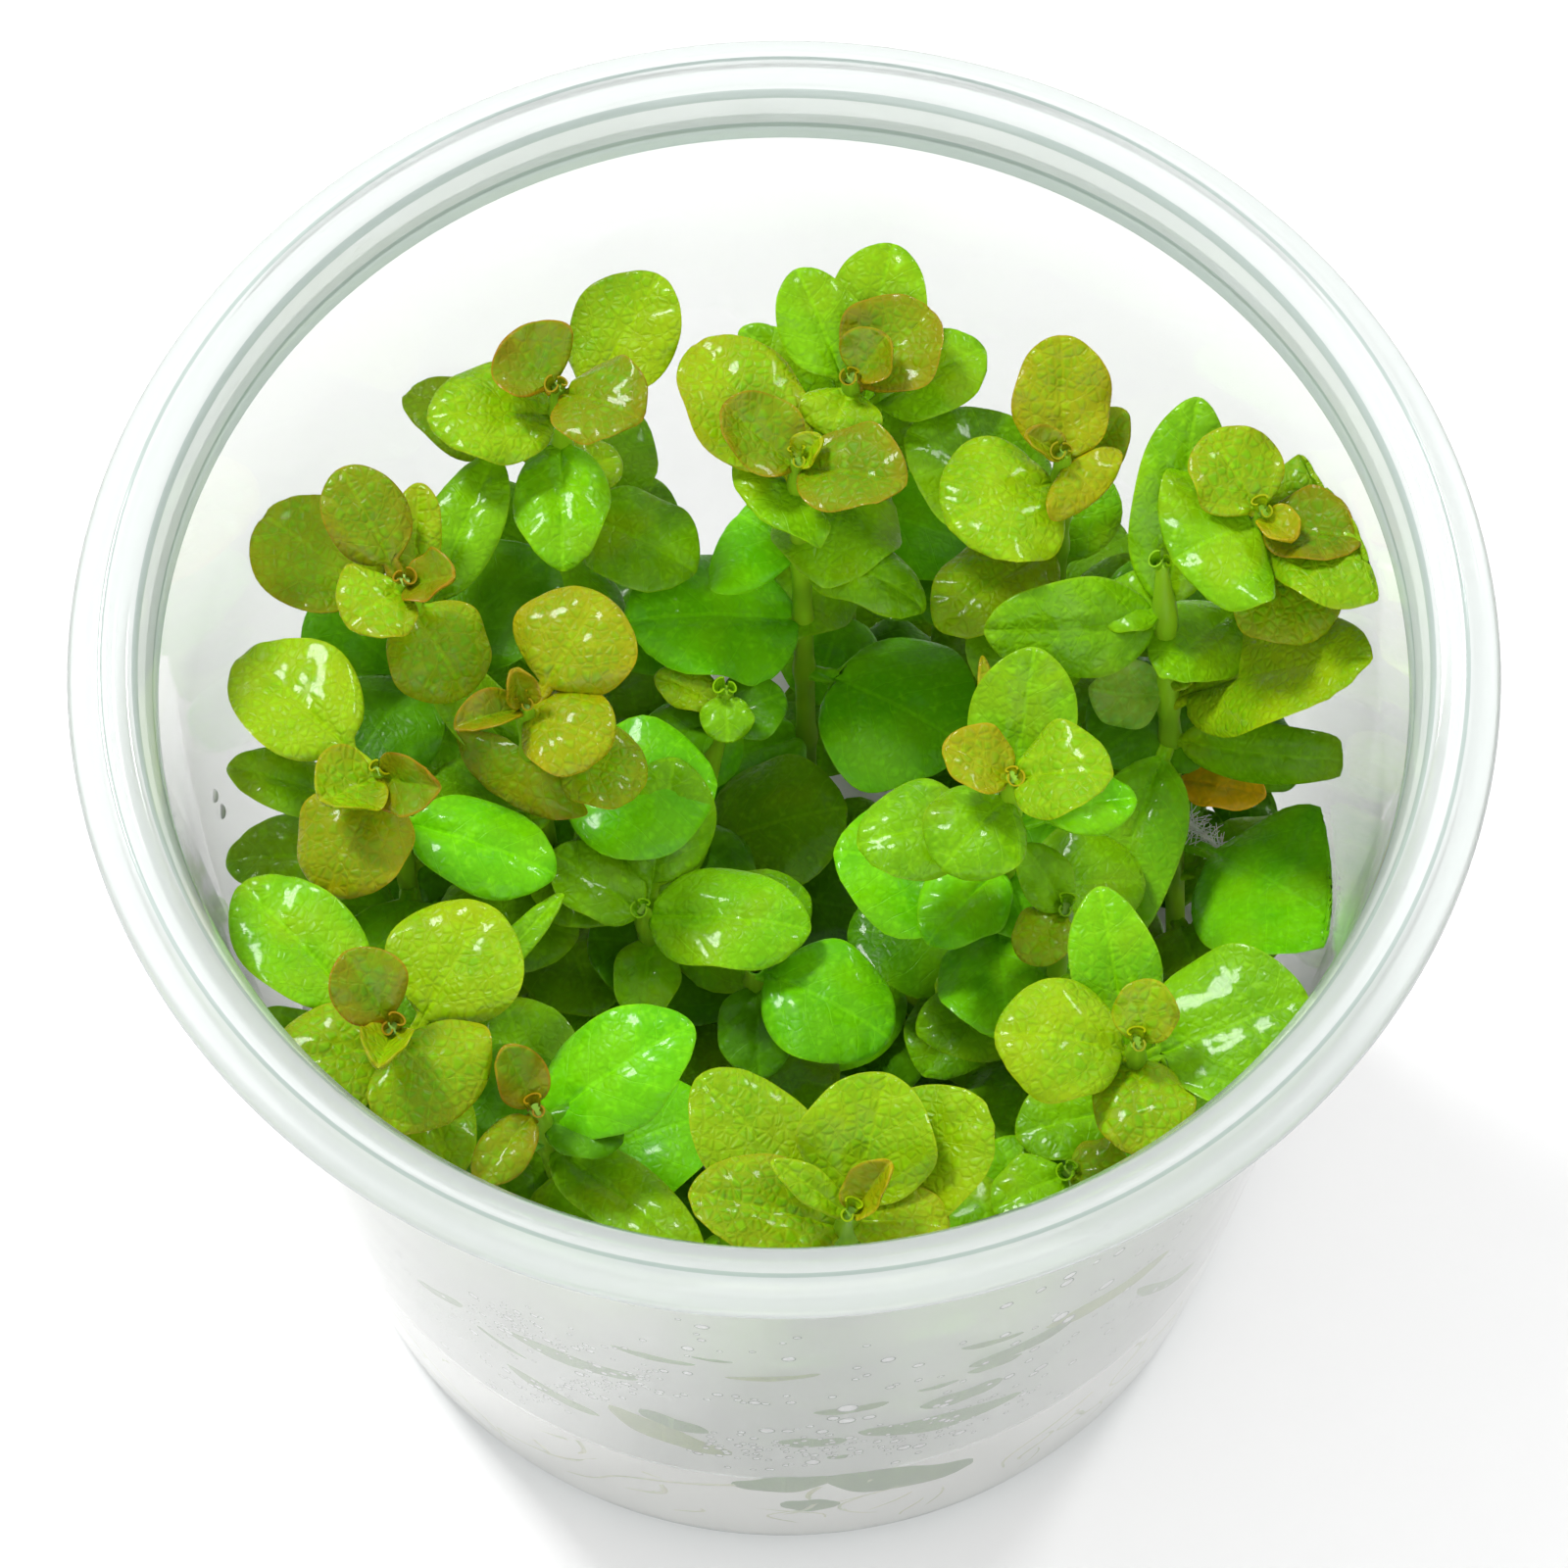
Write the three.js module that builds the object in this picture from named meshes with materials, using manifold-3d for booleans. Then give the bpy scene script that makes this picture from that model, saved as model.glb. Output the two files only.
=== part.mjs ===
// A round-leaved aquarium plant growing in a clear culture cup.
// Millimetres, +Z up. The origin is the middle of the cup's base.
// The front of the cup, where the picture was taken from, is -Y.
import * as THREE from "three";
import { mergeVertices } from "three/addons/utils/BufferGeometryUtils.js";
import Module from "manifold-3d";

// Cup: a thin tapered wall with a stepped, rolled rim
const CUP_HEIGHT = 88;
const RIM_RADIUS = 50;
const BASE_RADIUS = 37.7;
const WALL_TOP = 83;
const WALL_TOP_RADIUS = 44.7;
const WALL = 0.7;
const FLOOR = 1.0;
const CORNER = 3.0;
const CUP_SIDES = 36;

// Gel: a set disc that fills the bottom of the cup
const GEL_TOP = 22;
const TOUCH_GAP = 0.3;

// Stems
const STEM_RADIUS = 0.9;
const STEM_SIDES = 5;
const STEM_STEPS = 4;
const STEM_BOW = 1.2;
const BUD_LENGTH = 2.2;
const BUD_RADIUS = 0.72;
const BUD_LIFT = 0.77;

// Leaves
const BLADE_THICKNESS = 0.5;
const STALK_HALF_WIDTH = 0.5;
const HIDDEN_STALK = 0.7;
const BLADE_FULLNESS = 0.9;
const WALL_CLEARANCE = 0.5;
const LEAF_CLEARANCE = 0.4;
const SMALL_LENGTH = 7;
const LONG_STALK = 0.2;
const YOUNG_DROP = 2.5;
const LEAST_STEP = 0.05;

// Where a blade has its sections, as shares of the way from its stalk to its tip
const BLADE_SECTIONS = [0.16, 0.4, 0.67, 0.89];
const PLAIN_BLADE_SECTIONS = [0.2, 0.51, 0.83];
const SMALL_BLADE_SECTIONS = [0.24, 0.73];

// Each shoot: its foot on the gel (x, y), its tip (x, y, z), and its leaves.
// A leaf: how far its node is below the tip, azimuth and rise in degrees, length, width,
// arch along its length, cup across it (both as shares), roll in degrees, stalk as a share
// of its length, and "own" where the leaf is a piece of its own. The others are one with
// their stem.
const SHOOTS = [
  { name: "01", foot: [-17, 22], tip: [-16.6, 26.1, 77], leaves: [
    ["a", 1, 135, 27, 5.75, 7, -0.05, 0.3, 0, 0.26],
    ["b", 1, -31, 20, 7.75, 7.75, 0.12, 0.1, 0, 0.18, "own"],
    ["c", 4, -172, 13, 10, 8.5, 0.12, -0.1, 0, 0.08, "own"],
    ["d", 6, 55, 20, 14, 8.5, 0, 0.05, 0, 0.42, "own"],
    ["e", 7, -88, 0, 11, 7, 0.1, -0.1, 0, 0.08, "own"],
    ["f", 12, 152, 8, 13.75, 6.25, 0.1, 0, 0, 0.42],
    ["g", 12, 22, 0, 4.75, 5, 0.1, 0, 0, 0.1],
    ["h", 16, -29, 0, 11.5, 8.5, 0.08, 0, 0, 0.24],
  ] },
  { name: "02", foot: [-25, 10], tip: [-27.5, 10, 77], leaves: [
    ["a", 0.8, -11, 35, 4.75, 4.25, 0, 0.4, 0, 0.08],
    ["b", 1.2, -136, 10, 5.5, 6.75, 0.1, 0.1, 0, 0.12],
    ["c", 3, 120, 25, 10.75, 6.25, 0.06, -0.05, 0, 0.42, "own"],
    ["d", 4, -55, -25, 7.75, 8, 0.12, -0.1, 0, 0.08, "own"],
    ["e", 8, 143, 8, 14.5, 9.75, 0.06, 0.05, 0, 0.42, "own"],
    ["f", 9.5, 68, 13, 15.25, 5.75, 0.06, -0.05, 0, 0.32, "own"],
    ["g", 6, 87, 25, 10, 3.75, 0.05, 0, 0, 0.42],
  ] },
  { name: "03", foot: [-27, -4], tip: [-28.7, -5.2, 77], leaves: [
    ["a", 0.8, -143, 22, 5.5, 5.75, -0.05, 0.5, 0, 0.14],
    ["b", 0.8, -29, 30, 6, 4.5, 0.1, 0.5, 45, 0.1],
    ["c", 3, 134, -2, 15.25, 9, 0.08, 0.05, 0, 0.38, "own"],
    ["d", 3, -118, -13, 8.75, 8.5, 0.15, -0.15, 0, 0.08, "own"],
    ["e", 9, 162, 5, 12.75, 4.75, 0.06, 0, 0, 0.42],
    ["f", 9, -18, -5, 12.5, 7.5, 0.1, -0.1, 0, 0.18, "own"],
    ["g", 16, -179, 0, 13, 7.5, 0.08, 0, 0, 0.1],
  ] },
  { name: "04", foot: [-17, 0], tip: [-18.7, 1.5, 74], leaves: [
    ["a", 0.8, -158, 10, 5.5, 3, 0.1, 0.8, 0, 0.1],
    ["b", 0.5, 113, 60, 3.5, 2.5, 0, 0.8, 0, 0.1],
    ["c", 2, 55, 20, 10.5, 9.5, 0.06, -0.2, 0, 0.42, "own"],
    ["d", 2, -26, 10, 7, 7.5, 0.15, -0.15, 0, 0.08, "own"],
    ["e", 7, -124, -30, 4.25, 11.25, 0.12, -0.15, 0, 0.08],
    ["f", 8, -17, 5, 8.75, 6.75, 0.1, 0, 0, 0.42],
    ["g", 12, 138, 28, 13, 5, 0.06, 0, 0, 0.08],
  ] },
  { name: "05", foot: [-26, -20], tip: [-27.1, -25.6, 78], leaves: [
    ["a", 1, 127, 36, 6.75, 5.5, 0.08, 0.15, 0, 0.3],
    ["b", 0.8, -99, 40, 5.5, 3.5, 0, 0.8, 0, 0.1],
    ["c", 3, -46, -10, 7, 10.25, 0.12, -0.1, 0, 0.08, "own"],
    ["d", 4.4, -164, 5, 9, 8, 0.12, -0.1, 0, 0.08, "own"],
    ["e", 6, 133, 5, 17, 8.25, 0.05, 0.05, 0, 0.42, "own"],
    ["f", 7.5, 58, 17, 12.5, 10, 0.08, -0.05, 0, 0.42, "own"],
    ["g", 12, 53, 0, 18, 2.5, 0.05, 0, 0, 0.42],
    ["h", 12, -66, -5, 8.5, 6.5, 0.1, 0, 0, 0.1],
    ["i", 14, 157, 0, 13, 5, 0.05, 0, 0, 0.1],
  ] },
  { name: "06", foot: [-16, -22], tip: [-17.3, -29.2, 72], leaves: [
    ["a", 1, 123, 45, 5.75, 3.75, 0, 0.3, 0, 0.2],
    ["b", 1, -126, 0, 6.75, 3.75, 0.12, -0.1, 0, 0.18],
    ["c", 4, -11, -5, 6, 4.5, 0.1, 0, 0, 0.1],
    ["d", 5, 29, 19, 13, 8.5, 0.1, -0.1, 0, 0.08],
    ["e", 11, -42, 10, 15.5, 5.5, 0.06, 0, 0, 0.08],
  ] },
  { name: "07", foot: [3, -32], tip: [4.5, -38.9, 77], leaves: [
    ["a", 1, 151, 25, 6.75, 2.5, 0.05, 0.2, 0, 0.08],
    ["b", 0.8, 40, 48, 5.5, 3, 0, 0.8, 0, 0.12],
    ["c", 3, 73, 28, 10.75, 9.5, 0.06, 0.2, 0, 0.22],
    ["d", 2.5, -5, 5, 7, 5.5, 0.1, 0.1, 0, 0.1],
    ["e", 5, 173, 17, 11.5, 7.5, 0.06, 0.05, 0, 0.08, "own"],
    ["f", 7, 35, 35, 14.25, 9.25, 0.06, 0, 0, 0.42, "own"],
    ["g", 9, 133, 15, 15.5, 8, 0.06, 0, 0, 0.42, "own"],
  ] },
  { name: "08", foot: [24, -24], tip: [24.4, -26.7, 78], leaves: [
    ["a", 0.8, 72, 38, 5, 4.5, 0.05, 0.15, 0, 0.16],
    ["b", 2.5, 175, 10, 10, 9.25, 0.12, -0.12, 0, 0.16, "own"],
    ["c", 3.8, -82, 4, 7.5, 7, 0.15, -0.15, 0, 0.08, "own"],
    ["d", 5, 17, 16, 13.25, 12, 0.05, 0, 0, 0.24, "own"],
    ["e", 7.5, 100, 25, 13.75, 6.5, 0.06, 0.05, 0, 0.12, "own"],
    ["f", 14, -166, -2, 8, 6.5, 0.08, 0, 0, 0.1],
  ] },
  { name: "09", foot: [16, -4], tip: [16.3, -5.3, 76], leaves: [
    ["a", 0.8, 158, 21, 5.75, 5, 0.08, 0.2, 0, 0.08],
    ["b", 0.7, -9, 25, 7.75, 7.5, 0.12, 0.05, 0, 0.08, "own"],
    ["c", 3.5, -132, -4, 7.5, 8, 0.15, -0.15, 0, 0.12, "own"],
    ["d", 6, 80, 30, 12, 8, 0, 0, 0, 0.1, "own"],
    ["e", 8, -168, 5, 11.25, 7.75, 0.12, -0.1, 0, 0.38],
    ["f", 9, 14, 0, 9.75, 4.75, 0.1, 0, 0, 0.42],
    ["g", 16, -132, 0, 8.5, 6.5, 0.1, 0, 0, 0.1],
    ["h", 17, -71, -5, 5.5, 6, 0.1, 0, 0, 0.1],
  ] },
  { name: "10", foot: [21, 18], tip: [20.4, 20.5, 77], leaves: [
    ["a", 0.6, 160, 30, 3.5, 2.5, 0, 0.8, 0, 0.1],
    ["b", 1.5, 90, 25, 9.5, 7.25, -0.02, -0.05, 0, 0.08, "own"],
    ["c", 1.5, -44, -5, 3.75, 7.75, 0.15, -0.1, 0, 0.24],
    ["d", 4, -152, 9, 9.75, 11.25, 0.12, -0.12, 0, 0.16, "own"],
    ["e", 8.5, 156, 16, 13, 10, 0.02, 0, 0, 0.1, "own"],
    ["f", 7, 50, 30, 8.5, 4.5, 0.05, 0, 0, 0.1],
    ["g", 13, -143, 0, 11.5, 8, 0.1, -0.1, 0, 0.1],
  ] },
  { name: "11", foot: [33, 14], tip: [34.6, 14.6, 79], leaves: [
    ["a", 1, 124, 20, 7.25, 7.25, 0.05, 0.1, 0, 0.14],
    ["b", 0.6, -49, 15, 3.5, 3, 0, 0.6, 0, 0.1],
    ["c", 2, -153, 3, 7.25, 13.25, 0.12, -0.02, 0, 0.14, "own"],
    ["d", 2.5, -16, 15, 8, 6, 0.05, 0.3, 0, 0.1],
    ["e", 3.5, -23, 13, 12.5, 10, 0.1, 0, 0, 0.16],
    ["f", 6, 41, 22, 9.5, 6.5, 0.06, 0, 0, 0.1],
    ["g", 5.5, -61, -3, 8.5, 8.5, 0.1, -0.1, 0, 0.1],
  ] },
  { name: "12", foot: [5, 27], tip: [4.9, 26.3, 78], leaves: [
    ["a", 0.8, 43, 34, 4.5, 4.5, -0.05, 0.6, 0, 0.22],
    ["b", 2, 43, 15, 8.5, 8, 0, 0.3, 0, 0.16, "own"],
    ["c", 2, -110, 0, 4.25, 6.25, 0.12, -0.05, 0, 0.1],
    ["d", 4, 115, 28, 10.75, 6.5, 0.08, 0, 0, 0.32],
    ["e", 6, 74, 28, 13.25, 7.75, 0.05, 0.05, 0, 0.42],
    ["f", 7, 24, 17, 11.5, 7.5, 0.08, 0, 0, 0.36],
    ["g", 9, 139, 20, 11.5, 5.5, 0.05, 0, 0, 0.1],
    ["h", 10, 14, 0, 5, 6.5, 0.08, 0, 0, 0.1],
  ] },
  { name: "13", foot: [2, 16], tip: [1, 19.9, 77], leaves: [
    ["a", 0.6, 35, 45, 3, 2.5, 0, 0.8, 0, 0.1],
    ["b", 1, 146, 25, 7.25, 6, -0.04, 0.4, 0, 0.08, "own"],
    ["c", 1.2, -19, 18, 8.75, 7.5, 0.08, 0.2, 0, 0.08, "own"],
    ["d", 3, 125, 9, 13.25, 9, 0.08, 0.05, 0, 0.16, "own"],
    ["e", 4, -134, 15, 4.25, 9.25, 0.1, 0, 0, 0.08],
    ["f", 13, 141, -5, 6.25, 13, 0.08, -0.05, 0, 0.08, "own"],
    ["g", 13, -28, 5, 10.5, 5.5, 0.2, -0.2, 0, 0.1],
    ["h", 22, -168, 21, 14.75, 11.5, 0.08, -0.05, 0, 0.08],
    ["i", 29, -32, 7, 15, 13.75, 0.1, -0.1, 0, 0.28],
    ["j", 39, -152, 10, 11.5, 10, 0.08, 0, 0, 0.1],
    ["k", 46, -128, 5, 10.5, 6.5, 0.05, 0, 0, 0.1],
  ] },
  { name: "14", foot: [-9, 3], tip: [-4.3, 9.7, 60], leaves: [
    ["a", 0.6, -87, -10, 3.75, 4, 0.12, -0.1, 0, 0.08],
    ["b", 2, 154, 5, 5.75, 3.5, 0.08, 0, 0, 0.1],
    ["c", 4, -164, 0, 6.25, 5, 0.08, 0, 0, 0.1],
    ["d", 4, 25, 5, 5.5, 5.5, 0.08, 0, 0, 0.1],
  ] },
  { name: "15", foot: [20, -10], tip: [20.5, -10.1, 64], leaves: [
    ["a", 0.8, 128, 30, 6, 4, 0.1, 0, 0, 0.1],
    ["b", 0.8, -130, 0, 5, 4.5, 0.12, -0.1, 0, 0.1],
    ["c", 19, -169, 5, 10.5, 7, 0.1, -0.1, 0, 0.1],
  ] },
  { name: "16", foot: [-8, -5], tip: [-10.5, -7.4, 58], leaves: [
    ["a", 1.5, -10, 10, 12.75, 8.5, 0.08, -0.1, 0, 0.08],
    ["b", 3, 79, 25, 12.5, 7.75, 0.08, -0.1, 0, 0.36],
    ["c", 2, 148, 15, 8.5, 6, 0.1, 0, 0, 0.1],
    ["d", 6, -95, -10, 6.5, 5, 0.1, 0, 0, 0.1],
    ["e", 8, 175, 0, 5, 7.5, 0.08, 0, 0, 0.1],
  ] },
  { name: "17", foot: [-1, -8], tip: [-2.3, -11.1, 56], leaves: [
    ["a", 1, -29, -1, 11.5, 9.75, 0.12, -0.15, 0, 0.18],
    ["b", 4, -88, -10, 7.5, 6, 0.1, 0, 0, 0.1],
  ] },
  { name: "18", foot: [31.5, 1], tip: [27.5, 12.4, 75], leaves: [
    ["a", 5, 80, 36, 16, 7.25, 0.08, 0, 0, 0.08],
    ["b", 5, 169, 0, 5, 5, 0.08, 0, 0, 0.1],
    ["c", 6, -174, 5, 13.5, 7.5, 0.08, -0.1, -40, 0.1],
    ["d", 15, -14, 45, 20, 10.25, 0.06, 0, 0, 0.18, "own"],
    ["e", 14, -174, 20, 6.5, 5.5, 0.1, 0.1, -50, 0.18],
    ["f", 19, -111, -15, 18.5, 8, 0.08, -0.1, 0, 0.16, "own"],
    ["g", 19, -14, 14, 15, 4.75, 0.15, -0.3, 40, 0.12],
    ["h", 31, -46, 29, 20, 14.5, 0.08, 0, 0, 0.42, "own"],
    ["i", 12.5, -21, 35, 2.5, 2.25, 0.1, 0, 0, 0.42],
  ] },
  { name: "19", foot: [19, -28], tip: [20.1, -31.4, 66], leaves: [
    ["a", 0.8, -152, 0, 6, 5, 0.1, 0, 0, 0.08],
    ["b", 0.8, 2, 15, 4.5, 4.5, 0.1, 0, 0, 0.1],
    ["c", 4, 147, 10, 4, 4.5, 0.1, 0, 0, 0.1],
  ] },
];

const wasm = await Module();
wasm.setup();

const radians = THREE.MathUtils.degToRad;
const isOwn = (row) => row.at(-1) === "own";

function paint(color, roughness, opacity = 1) {
  return new THREE.MeshStandardMaterial({ color, roughness, metalness: 0, opacity, transparent: opacity < 1 });
}

const MATERIALS = {
  cup: paint(0xdfe6e3, 0.18, 0.35),
  gel: paint(0xe4e6cf, 0.25, 0.6),
  stem: paint(0x5f9c1d, 0.45),
  young: paint(0x9a9a1c, 0.35),
  grown: paint(0x76b012, 0.35),
};

// Inner radius of the cup's wall at height z
function innerRadius(z) {
  const taper = (WALL_TOP_RADIUS - BASE_RADIUS) / WALL_TOP;
  return BASE_RADIUS - WALL + taper * z;
}

// A profile of [radius, height] pairs, turned about +Z
function turned(profile) {
  const points = profile.map(([r, z]) => new THREE.Vector2(r, z));
  const geometry = new THREE.LatheGeometry(points, CUP_SIDES);
  geometry.rotateX(Math.PI / 2);
  return geometry;
}

// Points of a quarter round from a flat floor to a wall
function corner(radius, z, size) {
  const steps = 3;
  return Array.from({ length: steps + 1 }, (_, i) => {
    const angle = (i / steps) * (Math.PI / 2);
    return [radius - size + size * Math.sin(angle), z + size - size * Math.cos(angle)];
  });
}

function cup() {
  const outside = [[0, 0], ...corner(BASE_RADIUS, 0, CORNER), [WALL_TOP_RADIUS, WALL_TOP]];
  const lip = [
    [RIM_RADIUS - 5.0, CUP_HEIGHT - 3.8],
    [RIM_RADIUS - 4.1, CUP_HEIGHT - 1.8],
    [RIM_RADIUS - 2.5, CUP_HEIGHT - 0.9],
    [RIM_RADIUS - 1.4, CUP_HEIGHT - 1.8],
    [RIM_RADIUS, CUP_HEIGHT - 1.9],
    [RIM_RADIUS, CUP_HEIGHT - 1.1],
    [RIM_RADIUS - 1.0, CUP_HEIGHT - 0.8],
    [RIM_RADIUS - 2.3, CUP_HEIGHT],
    [RIM_RADIUS - 2.9, CUP_HEIGHT - 0.1],
    [RIM_RADIUS - 4.6, CUP_HEIGHT - 0.7],
    [RIM_RADIUS - 5.1, CUP_HEIGHT - 1.8],
    [RIM_RADIUS - 5.8, CUP_HEIGHT - 3.6],
  ];
  const insideCorner = corner(innerRadius(FLOOR + CORNER), FLOOR, CORNER - WALL).reverse();
  const inside = [[innerRadius(WALL_TOP), WALL_TOP], ...insideCorner, [0, FLOOR]];
  return turned([...outside, ...lip, ...inside]);
}

function gel() {
  const floor = FLOOR + TOUCH_GAP;
  const radius = innerRadius(FLOOR + CORNER) - TOUCH_GAP;
  const side = corner(radius, floor, CORNER - WALL);
  return turned([[0, floor], ...side, [innerRadius(GEL_TOP) - TOUCH_GAP, GEL_TOP], [0, GEL_TOP]]);
}

// Middle of a shoot's stem at height z
function stemPoint(shoot, z) {
  const share = Math.max(0, (z - GEL_TOP) / (shoot.tip[2] - GEL_TOP)) ** STEM_BOW;
  const x = THREE.MathUtils.lerp(shoot.foot[0], shoot.tip[0], share);
  const y = THREE.MathUtils.lerp(shoot.foot[1], shoot.tip[1], share);
  return new THREE.Vector3(x, y, z);
}

function stem(shoot) {
  const low = GEL_TOP + TOUCH_GAP;
  const heights = Array.from({ length: STEM_STEPS + 1 }, (_, i) =>
    THREE.MathUtils.lerp(low, shoot.tip[2], i / STEM_STEPS));
  const path = new THREE.CatmullRomCurve3(heights.map((z) => stemPoint(shoot, z)));
  const section = new THREE.Shape();
  for (let i = 0; i < STEM_SIDES; i += 1) {
    const angle = (i / STEM_SIDES) * 2 * Math.PI;
    const x = STEM_RADIUS * Math.cos(angle);
    const y = STEM_RADIUS * Math.sin(angle);
    if (i === 0) section.moveTo(x, y);
    else section.lineTo(x, y);
  }
  return new THREE.ExtrudeGeometry(section, { steps: STEM_STEPS, extrudePath: path, curveSegments: 1 });
}

// The closed bud of new leaves that tops a stem
function bud(shoot) {
  const geometry = new THREE.ConeGeometry(BUD_RADIUS, BUD_LENGTH, STEM_SIDES);
  geometry.rotateX(Math.PI / 2);
  geometry.translate(shoot.tip[0], shoot.tip[1], shoot.tip[2] + BUD_LIFT);
  return geometry;
}

// Half width of a leaf at a share of its length
function halfWidth(width, stalk, share) {
  if (share <= stalk) return STALK_HALF_WIDTH;
  const start = stalk * HIDDEN_STALK;
  const s = ((share - start) / (1 - start)) ** BLADE_FULLNESS;
  return Math.max(STALK_HALF_WIDTH, (width / 2) * Math.sqrt(1 - (2 * s - 1) ** 2));
}

// The shares of a leaf's length where it has a section
function sectionShares(from, length, stalk, own) {
  const fused = length < SMALL_LENGTH ? SMALL_BLADE_SECTIONS : PLAIN_BLADE_SECTIONS;
  const blade = (own ? BLADE_SECTIONS : fused).map((part) => stalk + (1 - stalk) * part);
  if (!own && stalk <= LONG_STALK) return [from, ...blade];
  const first = Math.max(stalk, from + LEAST_STEP);
  return [from, first, ...blade.filter((share) => share > first + LEAST_STEP)];
}

// A leaf pressed against the wall follows the wall
function keptInside(point) {
  const limit = innerRadius(point.z) - WALL_CLEARANCE;
  const radius = Math.hypot(point.x, point.y);
  if (radius > limit) {
    point.x *= limit / radius;
    point.y *= limit / radius;
  }
  return point;
}

// A thin closed blade: sections of four points (left, top, right, underside) from stalk to tip
function leaf(shoot, row) {
  const [, drop, azimuth, rise, length, width, arch, cupping, roll, stalk, own] = row;
  const a = radians(azimuth);
  const r = radians(rise);
  const along = new THREE.Vector3(Math.cos(r) * Math.cos(a), Math.cos(r) * Math.sin(a), Math.sin(r));
  const side = new THREE.Vector3(-Math.sin(a), Math.cos(a), 0).applyAxisAngle(along, radians(roll));
  const up = new THREE.Vector3().crossVectors(along, side);
  const start = stemPoint(shoot, shoot.tip[2] - drop);
  const offset = own ? STEM_RADIUS + LEAF_CLEARANCE : 0;
  const from = offset / (length * Math.cos(r));
  const at = (share, across, lift) => {
    const half = halfWidth(width, stalk, share);
    const height = arch * length * 4 * share * (1 - share) + cupping * half * across * across + lift;
    const point = start.clone().addScaledVector(along, length * share);
    point.addScaledVector(side, half * across);
    return keptInside(point.addScaledVector(up, height));
  };
  const shares = sectionShares(from, length, stalk, own);
  const points = [];
  for (const share of shares) {
    const thick = BLADE_THICKNESS / 2;
    points.push(at(share, 1, 0), at(share, 0, thick), at(share, -1, 0), at(share, 0, -thick));
  }
  points.push(at(1, 0, 0));
  const faces = [0, 2, 1, 0, 3, 2];
  for (let i = 0; i < shares.length - 1; i += 1) {
    for (let j = 0; j < 4; j += 1) {
      const p = 4 * i + j;
      const q = 4 * i + ((j + 1) % 4);
      faces.push(p, q, p + 4, q, q + 4, p + 4);
    }
  }
  const tip = points.length - 1;
  for (let j = 0; j < 4; j += 1) faces.push(tip - 4 + j, tip - 4 + ((j + 1) % 4), tip);
  const geometry = new THREE.BufferGeometry().setFromPoints(points);
  geometry.setIndex(faces);
  return geometry;
}

function solid(geometry) {
  const bare = geometry.clone();
  bare.deleteAttribute("normal");
  bare.deleteAttribute("uv");
  const merged = mergeVertices(bare, 1e-4);
  return new wasm.Manifold(new wasm.Mesh({
    numProp: 3,
    vertProperties: new Float32Array(merged.attributes.position.array),
    triVerts: new Uint32Array(merged.index.array),
  }));
}

function joined(geometries) {
  const whole = geometries.map(solid).reduce((sum, next) => sum.add(next));
  const mesh = whole.getMesh();
  const geometry = new THREE.BufferGeometry();
  geometry.setAttribute("position", new THREE.BufferAttribute(mesh.vertProperties, 3));
  geometry.setIndex(new THREE.BufferAttribute(mesh.triVerts, 1));
  return geometry;
}

function named(name, geometry, material) {
  const mesh = new THREE.Mesh(geometry, material);
  mesh.name = name;
  return mesh;
}

const plantInCup = new THREE.Group();
plantInCup.add(named("culture_cup", cup(), MATERIALS.cup));
plantInCup.add(named("nutrient_gel", gel(), MATERIALS.gel));
for (const shoot of SHOOTS) {
  const fused = shoot.leaves.filter((row) => !isOwn(row)).map((row) => leaf(shoot, row));
  plantInCup.add(named(`stem_${shoot.name}`, joined([stem(shoot), bud(shoot), ...fused]), MATERIALS.stem));
  for (const row of shoot.leaves.filter(isOwn)) {
    const material = row[1] < YOUNG_DROP ? MATERIALS.young : MATERIALS.grown;
    plantInCup.add(named(`leaf_${shoot.name}_${row[0]}`, leaf(shoot, row), material));
  }
}

export default plantInCup;
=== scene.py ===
"""The looks of a round-leaved aquarium plant that grows in a clear culture cup.

The tables give lengths in millimetres, as the part's source does. Everything is built in
metres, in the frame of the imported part: +Z is up, and the front of the cup is -Y.
"""

import logging
import math
from dataclasses import dataclass, field
from enum import Enum, IntEnum

import bpy
import numpy as np
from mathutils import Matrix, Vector


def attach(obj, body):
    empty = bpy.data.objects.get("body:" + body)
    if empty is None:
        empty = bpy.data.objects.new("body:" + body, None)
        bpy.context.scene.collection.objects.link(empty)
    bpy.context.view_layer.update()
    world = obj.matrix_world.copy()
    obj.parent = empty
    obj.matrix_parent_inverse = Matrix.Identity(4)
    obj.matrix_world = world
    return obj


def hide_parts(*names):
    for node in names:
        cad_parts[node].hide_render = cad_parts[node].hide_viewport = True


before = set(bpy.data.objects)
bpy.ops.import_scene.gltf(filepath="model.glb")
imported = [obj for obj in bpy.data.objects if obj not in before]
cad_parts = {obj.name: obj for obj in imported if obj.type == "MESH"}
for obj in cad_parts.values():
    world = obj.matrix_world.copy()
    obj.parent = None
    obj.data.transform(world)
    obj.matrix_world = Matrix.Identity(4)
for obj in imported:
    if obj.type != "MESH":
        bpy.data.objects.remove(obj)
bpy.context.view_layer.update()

LOG = logging.getLogger("plant_cup")
MM = 0.001
UP = np.array([0.0, 0.0, 1.0])

# How the side veins of a leaf lean and bend towards its tip, to a millimetre from the midrib
VEIN_LEAN = 0.7
VEIN_BEND = 0.035

# A leaf's map is in centimetres, and what is no leaf counts as far from any edge
MAP_SCALE = 0.1
FAR_FROM_EDGE = 9.0
SMOOTH_ANGLE = 50.0

Colour = tuple[float, float, float]
Profile = list[tuple[float, float]]


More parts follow.
